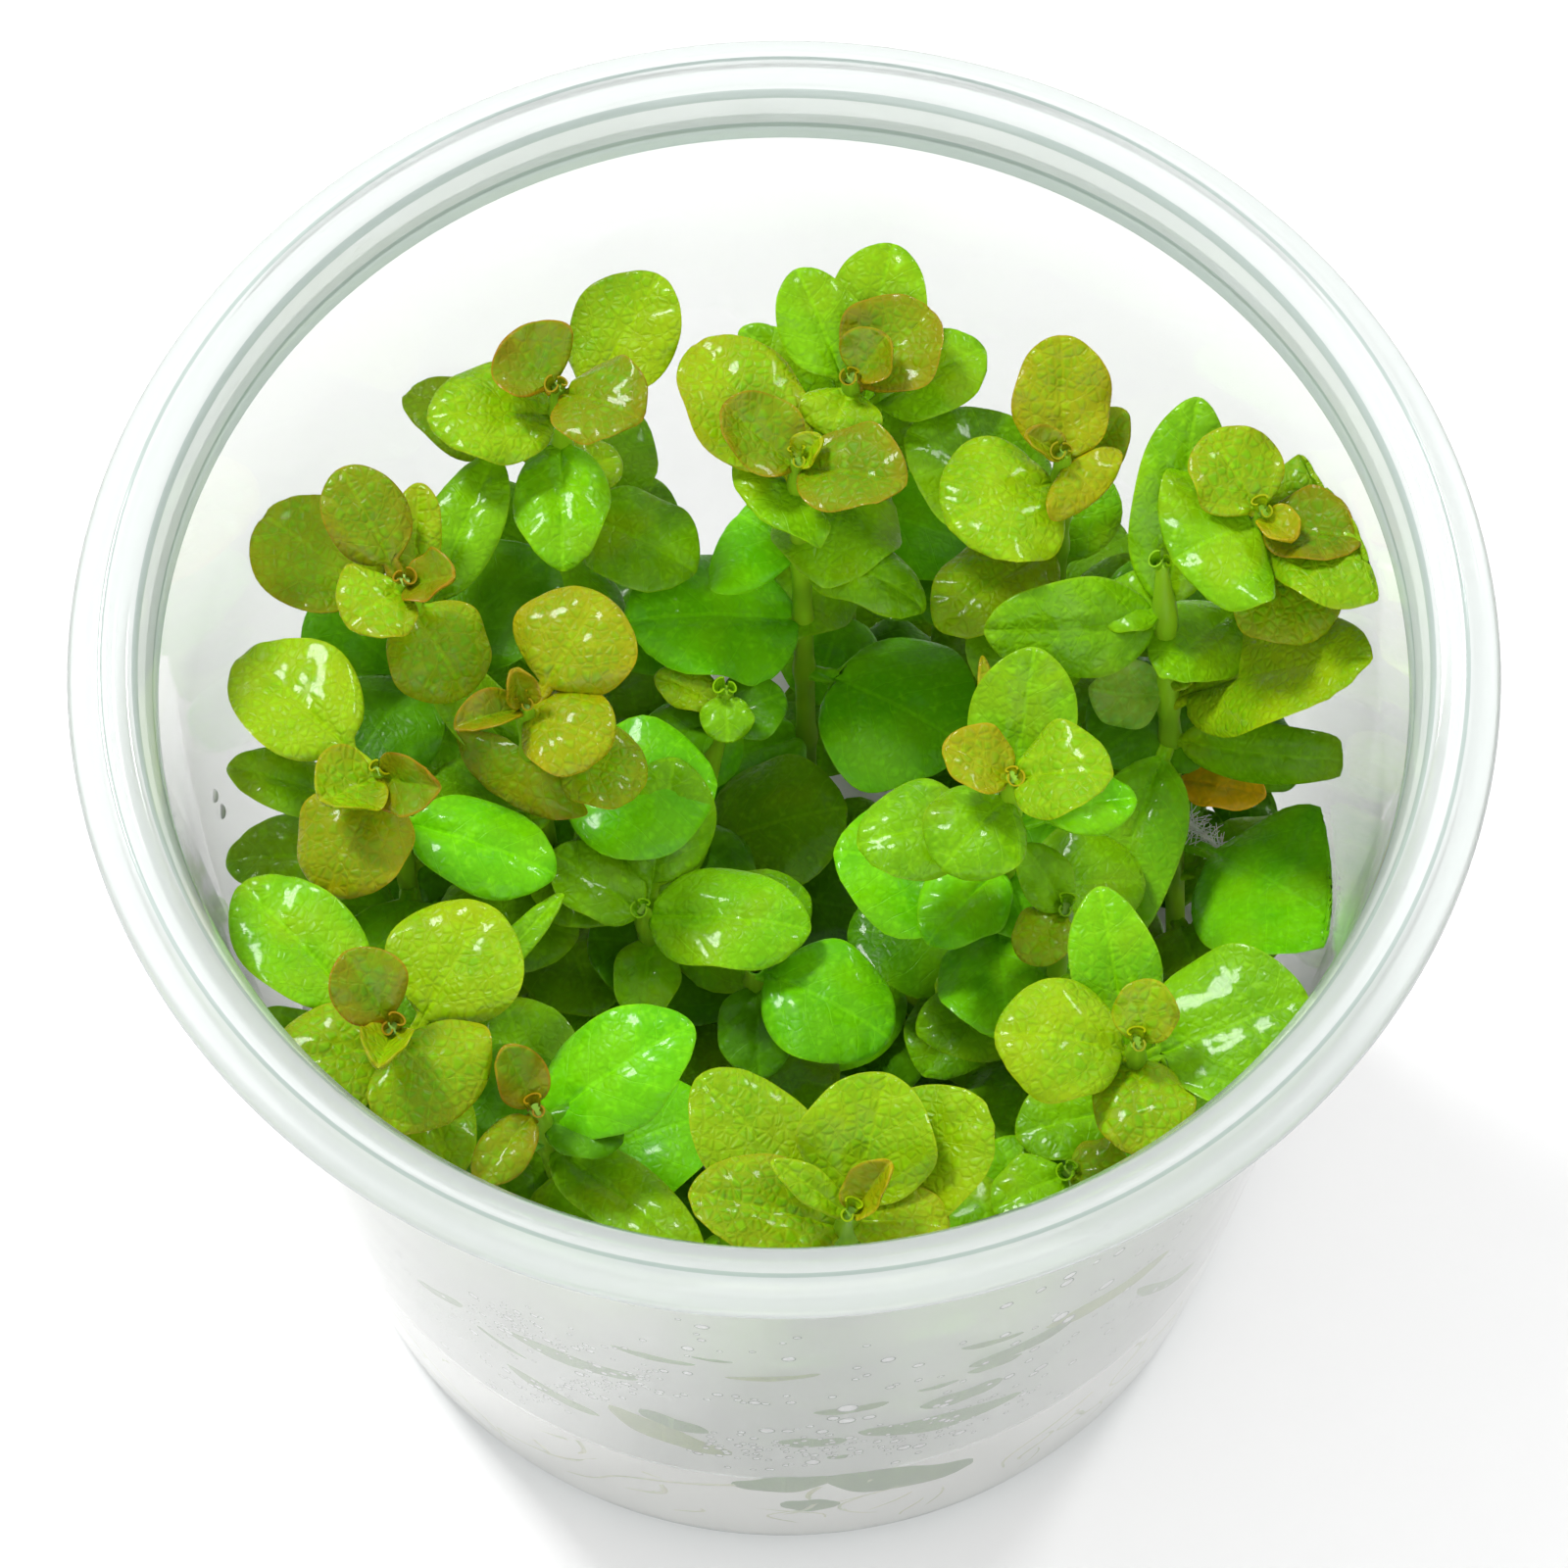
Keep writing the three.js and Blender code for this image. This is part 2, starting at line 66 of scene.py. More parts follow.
class Tone(Enum):
    """The colours that a leaf of this plant can have."""

    FRESH = "fresh"
    LIGHT = "light"
    BRIGHT = "bright"
    GREEN = "green"
    DEEP = "deep"
    OLIVE = "olive"
    MOSS = "moss"
    RUST = "rust"
    AMBER = "amber"
    PALE = "pale"
    OLD = "old"
    PRESSED = "pressed"
    PRESSED_LIGHT = "pressed light"


@dataclass
class Graph:
    """Short ways to fill the node tree of one material."""

    tree: bpy.types.NodeTree

    def node(self, kind: str, **settings: object) -> bpy.types.Node:
        """Adds a node.

        Args:
            kind: Blender's name for the node.
            settings: values for the node's own properties.

        Returns:
            The new node.
        """
        made = self.tree.nodes.new(kind)
        for name, value in settings.items():
            setattr(made, name, value)
        return made

    def feed(self, socket: bpy.types.NodeSocket, source: object) -> None:
        """Joins an output to a socket, or sets a plain value on it.

        Args:
            socket: the input that is fed.
            source: an output socket, a number or a colour.
        """
        if isinstance(source, bpy.types.NodeSocket):
            self.tree.links.new(source, socket)
        else:
            socket.default_value = source

    def sum(self, operation: str, *terms: object) -> bpy.types.NodeSocket:
        """Adds a math node.

        Args:
            operation: the name of the sum, such as "ADD".
            terms: the inputs, as sockets or numbers.

        Returns:
            The result's socket.
        """
        made = self.node("ShaderNodeMath", operation=operation)
        for socket, term in zip(made.inputs, terms):
            self.feed(socket, term)
        return made.outputs[0]

    def ramp(self, value: object, low: float, high: float,
             to: tuple[float, float] = (0.0, 1.0)) -> bpy.types.NodeSocket:
        """Turns a range of values smoothly into another.

        Args:
            value: the input socket.
            low: the value where the ramp starts.
            high: the value where it ends.
            to: the results at its two ends.

        Returns:
            The result's socket.
        """
        made = self.node("ShaderNodeMapRange", interpolation_type="SMOOTHSTEP")
        terms = {"Value": value, "From Min": low, "From Max": high, "To Min": to[0], "To Max": to[1]}
        for name, term in terms.items():
            self.feed(made.inputs[name], term)
        return made.outputs["Result"]

    def blend(self, share: object, first: object, second: object) -> bpy.types.NodeSocket:
        """Mixes two colours.

        Args:
            share: how much of the second colour shows.
            first: a colour or a socket.
            second: a colour or a socket.

        Returns:
            The mixed colour's socket.
        """
        made = self.node("ShaderNodeMix", data_type="RGBA")
        self.feed(made.inputs["Factor"], share)
        self.feed(made.inputs["A"], first)
        self.feed(made.inputs["B"], second)
        return made.outputs["Result"]

    def grain(self, place: object, scale: float, detail: float = 2.0) -> bpy.types.NodeSocket:
        """Adds a soft noise.

        Args:
            place: the coordinates that it is read at.
            scale: how many spots there are to a unit of the coordinates.
            detail: how many finer layers it has.

        Returns:
            The noise's value.
        """
        made = self.node("ShaderNodeTexNoise")
        self.feed(made.inputs["Vector"], place)
        self.feed(made.inputs["Scale"], scale)
        self.feed(made.inputs["Detail"], detail)
        return made.outputs["Fac"]

    def bump(self, skin: bpy.types.Node, height: object, strength: float, depth: float) -> None:
        """Makes a surface look raised and sunk.

        Args:
            skin: the material's main shader node.
            height: the socket that says how high each place is.
            strength: how much of it shows, from 0 to 1.
            depth: how far the height goes, in millimetres.
        """
        made = self.node("ShaderNodeBump")
        self.feed(made.inputs["Strength"], strength)
        self.feed(made.inputs["Distance"], depth * MM)
        self.feed(made.inputs["Height"], height)
        self.feed(skin.inputs["Normal"], made.outputs[0])


def new_material(name: str) -> tuple[bpy.types.Material, Graph, bpy.types.Node]:
    """Starts a material.

    Args:
        name: the name of the finish.

    Returns:
        The material, its graph, and its main shader node.
    """
    material = bpy.data.materials.new(name)
    material.use_nodes = True
    graph = Graph(material.node_tree)
    return material, graph, material.node_tree.nodes["Principled BSDF"]


def soften(skin: bpy.types.Node, share: float, depth: float) -> None:
    """Lets light into a surface.

    Args:
        skin: the material's main shader node.
        share: how much of the light goes in, from 0 to 1.
        depth: how far it goes, in millimetres.
    """
    skin.inputs["Subsurface Weight"].default_value = share
    skin.inputs["Subsurface Scale"].default_value = depth * MM


def rgba(colour: Colour) -> tuple[float, float, float, float]:
    """Gives a colour its fourth number, which is full cover."""
    return (*colour, 1.0)


@dataclass(frozen=True)
class LeafFinish:
    """A glossy, finely veined leaf, with a thin rim of another colour.

    Each leaf carries a map named "blade", in centimetres across and along it, and two numbers
    at each point: "rim", millimetres from its edge, and "shade", its own tint.
    """

    name: str
    blade: Colour
    deep: Colour
    rim: Colour
    rim_share: float = 0.6
    blush: Colour = (0.3, 0.12, 0.01)
    blush_share: float = 0.0
    quilt: float = 0.5
    roughness: float = 0.3
    blush_reach: float = 2.2
    net_tint: Colour = (0.24, 0.26, 0.002)
    cloud_tint: Colour = (0.34, 0.44, 0.002)
    cloud_share: float = 0.4
    patch_scale: float = 260.0
    fleck_scale: float = 1500.0
    cloud_scale: float = 150.0
    net_scale: float = 15.0
    deep_share: float = 0.7
    shade_share: float = 0.4
    speck_share: float = 0.5
    vein_share: float = 0.35
    vein_depth: float = 0.25
    vein_steps: float = 0.5
    vein_sway: float = 1.6
    bump_strength: float = 0.5
    bump_depth: float = 0.16
    gloss: float = 0.08
    coat: float = 0.16
    coat_roughness: float = 0.08

    def material(self) -> bpy.types.Material:
        """Makes the leaf's material.

        Returns:
            The material.
        """
        material, graph, skin = new_material(self.name)
        place = graph.node("ShaderNodeUVMap", uv_map="blade").outputs[0]
        body = graph.node("ShaderNodeTexCoord").outputs["Object"]
        patches = graph.grain(body, self.patch_scale, 1.0)
        flecks = graph.grain(body, self.fleck_scale, 1.0)
        vein = self.vein(graph, place, patches)
        net = self.net(graph, place)

        colour = self.flesh(graph, body, patches, flecks)
        colour = self.lined(graph, colour, vein, net)
        colour = self.edged(graph, colour, patches)
        graph.feed(skin.inputs["Base Color"], colour)
        rough = graph.ramp(flecks, 0.3, 0.7, (self.roughness - 0.06, self.roughness + 0.12))
        graph.feed(skin.inputs["Roughness"], rough)

        height = graph.sum("MULTIPLY", net, self.quilt)
        height = graph.sum("SUBTRACT", height, graph.sum("MULTIPLY", vein, self.vein_depth))
        graph.bump(skin, height, self.bump_strength, self.bump_depth)
        skin.inputs["Specular IOR Level"].default_value = self.gloss
        skin.inputs["Coat Weight"].default_value = self.coat
        skin.inputs["Coat Roughness"].default_value = self.coat_roughness
        return material

    def brighter(self, factor: float) -> Colour:
        """Gives the blade's colour made brighter, with no part over 1."""
        return tuple(min(1.0, part * factor) for part in self.blade)

    def flesh(self, graph: Graph, body: object, patches: object, flecks: object) -> bpy.types.NodeSocket:
        """Mixes the blade's own colours, without its lines and its edge.

        Args:
            graph: the material's graph.
            body: the place on the object.
            patches: a soft noise that parts the light and the deep colour.
            flecks: a fine noise for small light specks.

        Returns:
            The colour's socket.
        """
        shade = graph.node("ShaderNodeAttribute", attribute_name="shade").outputs["Fac"]
        depth = graph.ramp(patches, 0.3, 0.72, (0.0, self.deep_share))
        colour = graph.blend(depth, rgba(self.blade), rgba(self.deep))
        cloud_noise = graph.grain(body, self.cloud_scale, 1.0)
        clouds = graph.ramp(cloud_noise, 0.48, 0.66, (0.0, self.cloud_share))
        colour = graph.blend(clouds, colour, rgba(self.cloud_tint))
        own_tint = graph.ramp(shade, 0.0, 1.0, (0.0, self.shade_share))
        colour = graph.blend(own_tint, colour, rgba(self.deep))
        specks = graph.ramp(flecks, 0.5, 0.75, (0.0, self.speck_share))
        return graph.blend(specks, colour, rgba(self.brighter(1.2)))

    def lined(self, graph: Graph, colour: object, vein: object, net: object) -> bpy.types.NodeSocket:
        """Draws the veins and the fine net over a colour.

        Args:
            graph: the material's graph.
            colour: the colour's socket.
            vein: a value that is 1 on a vein.
            net: a value that is 0 on the lines of the net.

        Returns:
            The new colour's socket.
        """
        shown = graph.sum("MULTIPLY", vein, self.vein_share)
        colour = graph.blend(shown, colour, rgba(self.brighter(1.3)))
        lines = graph.sum("MULTIPLY", graph.sum("SUBTRACT", 1.0, net), 0.12 + self.quilt * 0.25)
        return graph.blend(lines, colour, rgba(self.net_tint))

    def edged(self, graph: Graph, colour: object, patches: object) -> bpy.types.NodeSocket:
        """Lays the blush of a young leaf and the thin rim over a colour.

        Args:
            graph: the material's graph.
            colour: the colour's socket.
            patches: a soft noise that makes the blush uneven.

        Returns:
            The new colour's socket.
        """
        from_edge = graph.node("ShaderNodeAttribute", attribute_name="rim").outputs["Fac"]
        if self.blush_share > 0.0:
            wide = graph.ramp(from_edge, 0.2, self.blush_reach, (1.0, 0.0))
            cloud = graph.ramp(patches, 0.35, 0.65, (0.25, 1.0))
            amount = graph.sum("MULTIPLY", graph.sum("MULTIPLY", wide, cloud), self.blush_share)
            colour = graph.blend(amount, colour, rgba(self.blush))
        edge = graph.ramp(from_edge, 0.04, 0.26, (self.rim_share * 0.8, 0.0))
        return graph.blend(edge, colour, rgba(self.rim))

    def vein(self, graph: Graph, place: object, patches: object) -> bpy.types.NodeSocket:
        """Draws the midrib and the veins that curve away from it.

        Args:
            graph: the material's graph.
            place: the place on the blade, from its map.
            patches: a soft noise that bends the veins.

        Returns:
            A value that is 1 on a vein.
        """
        parts = graph.node("ShaderNodeSeparateXYZ")
        graph.feed(parts.inputs[0], place)
        across = graph.sum("ABSOLUTE", graph.sum("MULTIPLY", parts.outputs[0], 1.0 / MAP_SCALE))
        along = graph.sum("MULTIPLY", parts.outputs[1], 1.0 / MAP_SCALE)
        bend = graph.sum("MULTIPLY", graph.sum("MULTIPLY", across, across), VEIN_BEND)
        lean = graph.sum("ADD", graph.sum("MULTIPLY", across, VEIN_LEAN), bend)
        sway = graph.sum("MULTIPLY", patches, self.vein_sway)
        place_along = graph.sum("ADD", graph.sum("SUBTRACT", along, lean), sway)
        step = graph.sum("MULTIPLY", place_along, self.vein_steps)
        wave = graph.sum("ABSOLUTE", graph.sum("SUBTRACT", graph.sum("FRACT", step), 0.5))
        side = graph.ramp(wave, 0.04, 0.0)
        middle = graph.ramp(across, 0.26, 0.08)
        return graph.sum("MAXIMUM", side, middle)

    def net(self, graph: Graph, place: object) -> bpy.types.NodeSocket:
        """Draws the fine net between the veins, raised in the middle of each cell.

        Args:
            graph: the material's graph.
            place: the place on the blade, from its map.

        Returns:
            A value that is 0 on the lines of the net and 1 inside its cells.
        """
        cells = graph.node("ShaderNodeTexVoronoi", feature="DISTANCE_TO_EDGE")
        graph.feed(cells.inputs["Vector"], place)
        graph.feed(cells.inputs["Scale"], self.net_scale)
        return graph.ramp(cells.outputs["Distance"], 0.0, 0.3)


LEAF_FINISHES = {
    Tone.FRESH: LeafFinish("leaf fresh yellow-green", (0.25, 0.46, 0.0015), (0.13, 0.36, 0.001),
                           (0.38, 0.42, 0.005), 0.35, quilt=0.8, net_tint=(0.24, 0.28, 0.002)),
    Tone.LIGHT: LeafFinish("leaf light green", (0.2, 0.53, 0.0015), (0.11, 0.4, 0.001),
                           (0.32, 0.52, 0.006), 0.3, net_tint=(0.16, 0.34, 0.001)),
    Tone.BRIGHT: LeafFinish("leaf bright green", (0.18, 0.6, 0.0015), (0.08, 0.42, 0.001),
                            (0.26, 0.54, 0.006), 0.3, quilt=0.3, net_tint=(0.1, 0.34, 0.001),
                            cloud_tint=(0.27, 0.6, 0.002), cloud_share=0.4),
    Tone.GREEN: LeafFinish("leaf mid green", (0.2, 0.49, 0.0015), (0.1, 0.31, 0.001),
                           (0.3, 0.48, 0.006), 0.3, net_tint=(0.14, 0.3, 0.001)),
    Tone.DEEP: LeafFinish("leaf deep green", (0.1, 0.32, 0.001), (0.04, 0.19, 0.001),
                          (0.18, 0.4, 0.004), 0.25, quilt=0.3, net_tint=(0.07, 0.22, 0.001),
                          cloud_tint=(0.19, 0.46, 0.001)),
    Tone.OLIVE: LeafFinish("leaf yellow olive", (0.22, 0.46, 0.0015), (0.12, 0.31, 0.001),
                           (0.4, 0.26, 0.004), 0.4, (0.32, 0.28, 0.002), 0.35, quilt=0.9,
                           net_tint=(0.28, 0.22, 0.002)),
    Tone.MOSS: LeafFinish("leaf brownish olive", (0.15, 0.32, 0.0015), (0.085, 0.2, 0.001),
                          (0.36, 0.16, 0.004), 0.45, (0.27, 0.18, 0.002), 0.45, quilt=0.7,
                          net_tint=(0.24, 0.15, 0.002), cloud_tint=(0.27, 0.31, 0.002)),
    Tone.RUST: LeafFinish("leaf reddish olive", (0.12, 0.31, 0.0015), (0.09, 0.21, 0.001),
                          (0.4, 0.13, 0.004), 0.55, (0.28, 0.15, 0.002), 0.5, blush_reach=3.2,
                          net_tint=(0.22, 0.13, 0.002), cloud_tint=(0.24, 0.25, 0.002)),
    Tone.AMBER: LeafFinish("leaf amber yellow", (0.24, 0.37, 0.0015), (0.14, 0.26, 0.001),
                           (0.46, 0.26, 0.004), 0.45, (0.38, 0.28, 0.002), 0.4, quilt=0.9,
                           net_tint=(0.32, 0.23, 0.002), cloud_tint=(0.36, 0.38, 0.002)),
    Tone.PALE: LeafFinish("leaf shaded underside", (0.2, 0.46, 0.03), (0.1, 0.3, 0.02),
                          (0.26, 0.44, 0.05), 0.4),
    Tone.OLD: LeafFinish("leaf old orange", (0.72, 0.42, 0.003), (0.5, 0.36, 0.002),
                         (0.95, 0.48, 0.004), 0.9, (0.95, 0.48, 0.003), 0.9,
                         cloud_tint=(0.6, 0.5, 0.002)),
    Tone.PRESSED: LeafFinish("leaf pressed on the wall", (0.1, 0.24, 0.02), (0.06, 0.17, 0.01),
                             (0.18, 0.3, 0.06), 0.4, quilt=0.2, net_tint=(0.1, 0.18, 0.03),
                             cloud_tint=(0.2, 0.3, 0.05)),
    Tone.PRESSED_LIGHT: LeafFinish("leaf pressed on the wall, light", (0.25, 0.34, 0.06), (0.18, 0.27, 0.05),
                                   (0.38, 0.42, 0.2), 0.4, quilt=0.2, net_tint=(0.24, 0.3, 0.1),
                                   cloud_tint=(0.38, 0.4, 0.18)),
}


@dataclass(frozen=True)
class StemFinish:
    """A smooth fleshy stem with fine streaks, a little darker in patches."""

    light: Colour = (0.28, 0.55, 0.008)
    dark: Colour = (0.16, 0.34, 0.004)
    streak_scale: float = 1500.0
    streak_stretch: float = 0.15
    patch_scale: float = 120.0
    roughness: float = 0.4
    glow: float = 0.2
    glow_depth: float = 0.5

    def material(self) -> bpy.types.Material:
        """Makes the stem's material.

        Returns:
            The material.
        """
        material, graph, skin = new_material("stem green")
        body = graph.node("ShaderNodeTexCoord").outputs["Object"]
        stretch = graph.node("ShaderNodeMapping")
        graph.feed(stretch.inputs["Vector"], body)
        stretch.inputs["Scale"].default_value = (1.0, 1.0, self.streak_stretch)
        streaks = graph.grain(stretch.outputs[0], self.streak_scale, 3.0)
        patches = graph.grain(body, self.patch_scale)
        colour = graph.blend(graph.ramp(patches, 0.35, 0.65), rgba(self.light), rgba(self.dark))
        colour = graph.blend(graph.ramp(streaks, 0.5, 0.7, (0.0, 0.35)), colour, rgba(self.light))
        graph.feed(skin.inputs["Base Color"], colour)
        graph.bump(skin, streaks, 0.4, 0.08)
        skin.inputs["Roughness"].default_value = self.roughness
        soften(skin, self.glow, self.glow_depth)
        return material


@dataclass(frozen=True)
class ClearFinish:
    """Something clear that lets light through, smooth or fogged.

    With only_front, the roughness fades between two places along Y, in millimetres, from its
    full value at the front to a small share of it.
    """

    name: str
    tint: Colour
    index: float
    roughness: float
    clearness: float
    unevenness: float = 0.0
    spots: float = 90.0
    only_front: bool = False
    front_end: float = -18.0
    side_start: float = 2.0
    side_share: float = 0.12

    def material(self) -> bpy.types.Material:
        """Makes the clear material.

        Returns:
            The material.
        """
        material, graph, skin = new_material(self.name)
        body = graph.node("ShaderNodeTexCoord").outputs["Object"]
        haze = graph.grain(body, self.spots, 1.0)
        low = max(0.0, self.roughness - self.unevenness)
        rough = graph.ramp(haze, 0.3, 0.7, (low, self.roughness + self.unevenness))
        if self.only_front:
            place = graph.node("ShaderNodeSeparateXYZ")
            graph.feed(place.inputs[0], body)
            reach = (1.0, self.side_share)
            front = graph.ramp(place.outputs[1], self.front_end * MM, self.side_start * MM, reach)
            rough = graph.sum("MULTIPLY", rough, front)
        graph.feed(skin.inputs["Roughness"], rough)
        graph.bump(skin, haze, 0.12, 0.1)
        skin.inputs["Base Color"].default_value = rgba(self.tint)
        skin.inputs["IOR"].default_value = self.index
        skin.inputs["Transmission Weight"].default_value = self.clearness
        return material


@dataclass(frozen=True)
class RootFinish:
    """A thin pale root, a little darker in patches."""

    name: str = "root pale"
    light: Colour = (0.7, 0.72, 0.5)
    dark: Colour = (0.5, 0.56, 0.3)
    patch_scale: float = 300.0
    fuzz_scale: float = 3000.0
    roughness: float = 0.6
    glow: float = 0.2
    glow_depth: float = 0.5

    def material(self) -> bpy.types.Material:
        """Makes the root's material.

        Returns:
            The material.
        """
        material, graph, skin = new_material(self.name)
        body = graph.node("ShaderNodeTexCoord").outputs["Object"]
        patches = graph.grain(body, self.patch_scale, 3.0)
        fuzz = graph.grain(body, self.fuzz_scale, 2.0)
        colour = graph.blend(graph.ramp(patches, 0.4, 0.7), rgba(self.light), rgba(self.dark))
        graph.feed(skin.inputs["Base Color"], colour)
        graph.bump(skin, fuzz, 0.5, 0.05)
        skin.inputs["Roughness"].default_value = self.roughness
        soften(skin, self.glow, self.glow_depth)
        return material


@dataclass(frozen=True)
class FloorFinish:
    """The plain pale floor that the cup stands on."""

    tint: Colour = (0.95, 0.95, 0.95)
    roughness: float = 0.9
    gloss: float = 0.1

    def material(self) -> bpy.types.Material:
        """Makes the floor's material.

        Returns:
            The material.
        """
        material, _, skin = new_material("floor white")
        skin.inputs["Base Color"].default_value = rgba(self.tint)
        skin.inputs["Roughness"].default_value = self.roughness
        skin.inputs["Specular IOR Level"].default_value = self.gloss
        return material


# How strongly each clear stuff bends light
PLASTIC = 1.49
JELLY = 1.34
WATER = 1.33

CUP_SMOOTH = ClearFinish("plastic clear smooth", (0.98, 0.99, 0.985), PLASTIC, 0.05, 0.85, 0.02)
CUP_FOGGED = ClearFinish("plastic clear fogged inside", (0.9, 0.945, 0.88), PLASTIC, 0.42, 0.66, 0.06,
                         spots=140.0, only_front=True)
CUP_MISTED = ClearFinish("plastic clear misted", (0.97, 0.985, 0.97), PLASTIC, 0.2, 0.76, 0.06,
                         spots=140.0, only_front=True)
# Painted shade: a darker grey, less clear plastic for the dark lines along the rim's steps and round the
# cup's foot
CUP_PAINTED_SHADE = ClearFinish("plastic painted shade lines", (0.42, 0.5, 0.47), PLASTIC, 0.12, 0.45, 0.02)
CUP_RIM = ClearFinish("plastic milky rim", (0.8, 0.84, 0.82), PLASTIC, 0.1, 0.6, 0.04)
GEL_FINISH = ClearFinish("jelly cloudy", (0.95, 0.955, 0.9), JELLY, 0.4, 0.15, 0.1, spots=120.0)
# Painted highlight: a white, mostly opaque bead for a drop's bright middle
DROP_PAINTED_HIGHLIGHT = ClearFinish("water drop", (1.0, 1.0, 1.0), WATER, 0.05, 0.15, 0.02)
# Painted shade: an opaque dark ring round each drop, for the dark edge it shows
DROP_PAINTED_SHADE_RING = ClearFinish("water drop painted shade ring", (0.14, 0.2, 0.12), WATER, 0.1, 0.0, 0.02)


LEAF_MATERIALS = {tone: finish.material() for tone, finish in LEAF_FINISHES.items()}
STEM = StemFinish().material()


@dataclass
class Draft:
    """A mesh that is put together from closed skins, in millimetres."""

    points: list[np.ndarray] = field(default_factory=list)
    maps: list[np.ndarray] = field(default_factory=list)
    rims: list[np.ndarray] = field(default_factory=list)
    shades: list[np.ndarray] = field(default_factory=list)
    faces: list[tuple[int, ...]] = field(default_factory=list)
    paints: list[int] = field(default_factory=list)
    finishes: list[bpy.types.Material] = field(default_factory=list)
    count: int = 0

    def paint(self, finish: bpy.types.Material) -> int:
        """Gives the place of a material among the mesh's own, and adds it if it is new.

        Args:
            finish: the material.

        Returns:
            Its place in the mesh's list.
        """
        if finish not in self.finishes:
            self.finishes.append(finish)
        return self.finishes.index(finish)

    def add_skin(self, rings: np.ndarray, finish: bpy.types.Material, blade: np.ndarray | None = None,
                 rim: np.ndarray | None = None, shade: float = 0.0) -> None:
        """Adds a closed skin of rings, each joined to the next, with a flat cap at both ends.

        Args:
            rings: points as an array of (ring, place on the ring, 3).
            finish: the skin's material.
            blade: for a leaf, where each point is across and along it.
            rim: for a leaf, how far each point is from its edge.
            shade: the leaf's own tint, from 0 to 1.
        """
        count, size = rings.shape[:2]
        start = self.count
        index = start + np.arange(count * size).reshape(count, size)
        turned = np.roll(index, -1, axis=1)
        quads = np.stack([index[:-1], turned[:-1], turned[1:], index[1:]], axis=-1).reshape(-1, 4)
        caps = [index[0][::-1], index[-1]]
        flat = rings.reshape(-1, 3)
        corners = flat[quads - start]
        volume = np.einsum("ij,ij->i", corners[:, 0], np.cross(corners[:, 1], corners[:, 2])).sum()
        volume += np.einsum("ij,ij->i", corners[:, 0], np.cross(corners[:, 2], corners[:, 3])).sum()
        if volume < 0.0:
            quads = quads[:, ::-1]
            caps = [cap[::-1] for cap in caps]
        made = [tuple(face) for face in quads.tolist()] + [tuple(cap.tolist()) for cap in caps]
        self.faces.extend(made)
        self.paints.extend([self.paint(finish)] * len(made))
        self.points.append(flat)
        self.maps.append(np.zeros((count * size, 2)) if blade is None else blade.reshape(-1, 2))
        self.rims.append(np.full(count * size, FAR_FROM_EDGE) if rim is None else rim.reshape(-1))
        self.shades.append(np.full(count * size, shade))
        self.count += count * size

    def finished(self, name: str) -> bpy.types.Object:
        """Makes the Blender object.

        Args:
            name: the piece's name.

        Returns:
            The object, in metres, riding on the part's one body.
        """
        mesh = bpy.data.meshes.new(name)
        mesh.from_pydata(np.concatenate(self.points) * MM, [], self.faces)
        for finish in self.finishes:
            mesh.materials.append(finish)
        mesh.polygons.foreach_set("material_index", np.array(self.paints, dtype=np.int32))
        mesh.polygons.foreach_set("use_smooth", np.ones(len(self.faces), dtype=bool))
        corner = np.zeros(len(mesh.loops), dtype=np.int32)
        mesh.loops.foreach_get("vertex_index", corner)
        layer = mesh.uv_layers.new(name="blade")
        flat_map = np.concatenate(self.maps)[corner] * MAP_SCALE
        layer.data.foreach_set("uv", flat_map.ravel().astype(np.float32))
        for label, lists in (("rim", self.rims), ("shade", self.shades)):
            values = mesh.attributes.new(label, "FLOAT", "POINT")
            values.data.foreach_set("value", np.concatenate(lists).astype(np.float32))
        mesh.set_sharp_from_angle(angle=math.radians(SMOOTH_ANGLE))
        mesh.validate()
        mesh.update()
        piece = bpy.data.objects.new(name, mesh)
        bpy.context.scene.collection.objects.link(piece)
        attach(piece, "root")
        LOG.info("%s: %d points", name, self.count)
        return piece


def circle(count: int) -> np.ndarray:
    """Gives angles evenly round a circle."""
    return np.linspace(0.0, 2.0 * math.pi, count, endpoint=False)


def tube(path: np.ndarray, radii: np.ndarray, sides: int) -> np.ndarray:
    """Makes the rings of a round tube.

    Args:
        path: the points along its middle.
        radii: its radius at each point.
        sides: how many points a ring has.

    Returns:
        The rings' points.
    """
    forward = np.gradient(path, axis=0)
    forward /= np.linalg.norm(forward, axis=1, keepdims=True)
    guide = np.where(np.abs(forward[:, 2:3]) > 0.9, [[1.0, 0.0, 0.0]], [[0.0, 0.0, 1.0]])
    first = np.cross(forward, guide)
    first /= np.linalg.norm(first, axis=1, keepdims=True)
    for i in range(1, len(first)):
        first[i] = first[i - 1] - forward[i] * np.dot(first[i - 1], forward[i])
        first[i] /= np.linalg.norm(first[i])
    second = np.cross(forward, first)
    angle = circle(sides)[None, :, None]
    ring = first[:, None, :] * np.cos(angle) + second[:, None, :] * np.sin(angle)
    return path[:, None, :] + ring * radii[:, None, None]


def turned(profile: Profile, sides: int) -> np.ndarray:
    """Turns a profile of radius and height about the cup's axis.

    Args:
        profile: the points of the profile.
        sides: how many points a ring has.

    Returns:
        The rings' points.
    """
    radius, height = np.array(profile).T
    angle = circle(sides)[None, :]
    x = radius[:, None] * np.cos(angle)
    y = radius[:, None] * np.sin(angle)
    return np.stack([x, y, np.broadcast_to(height[:, None], x.shape)], axis=-1)


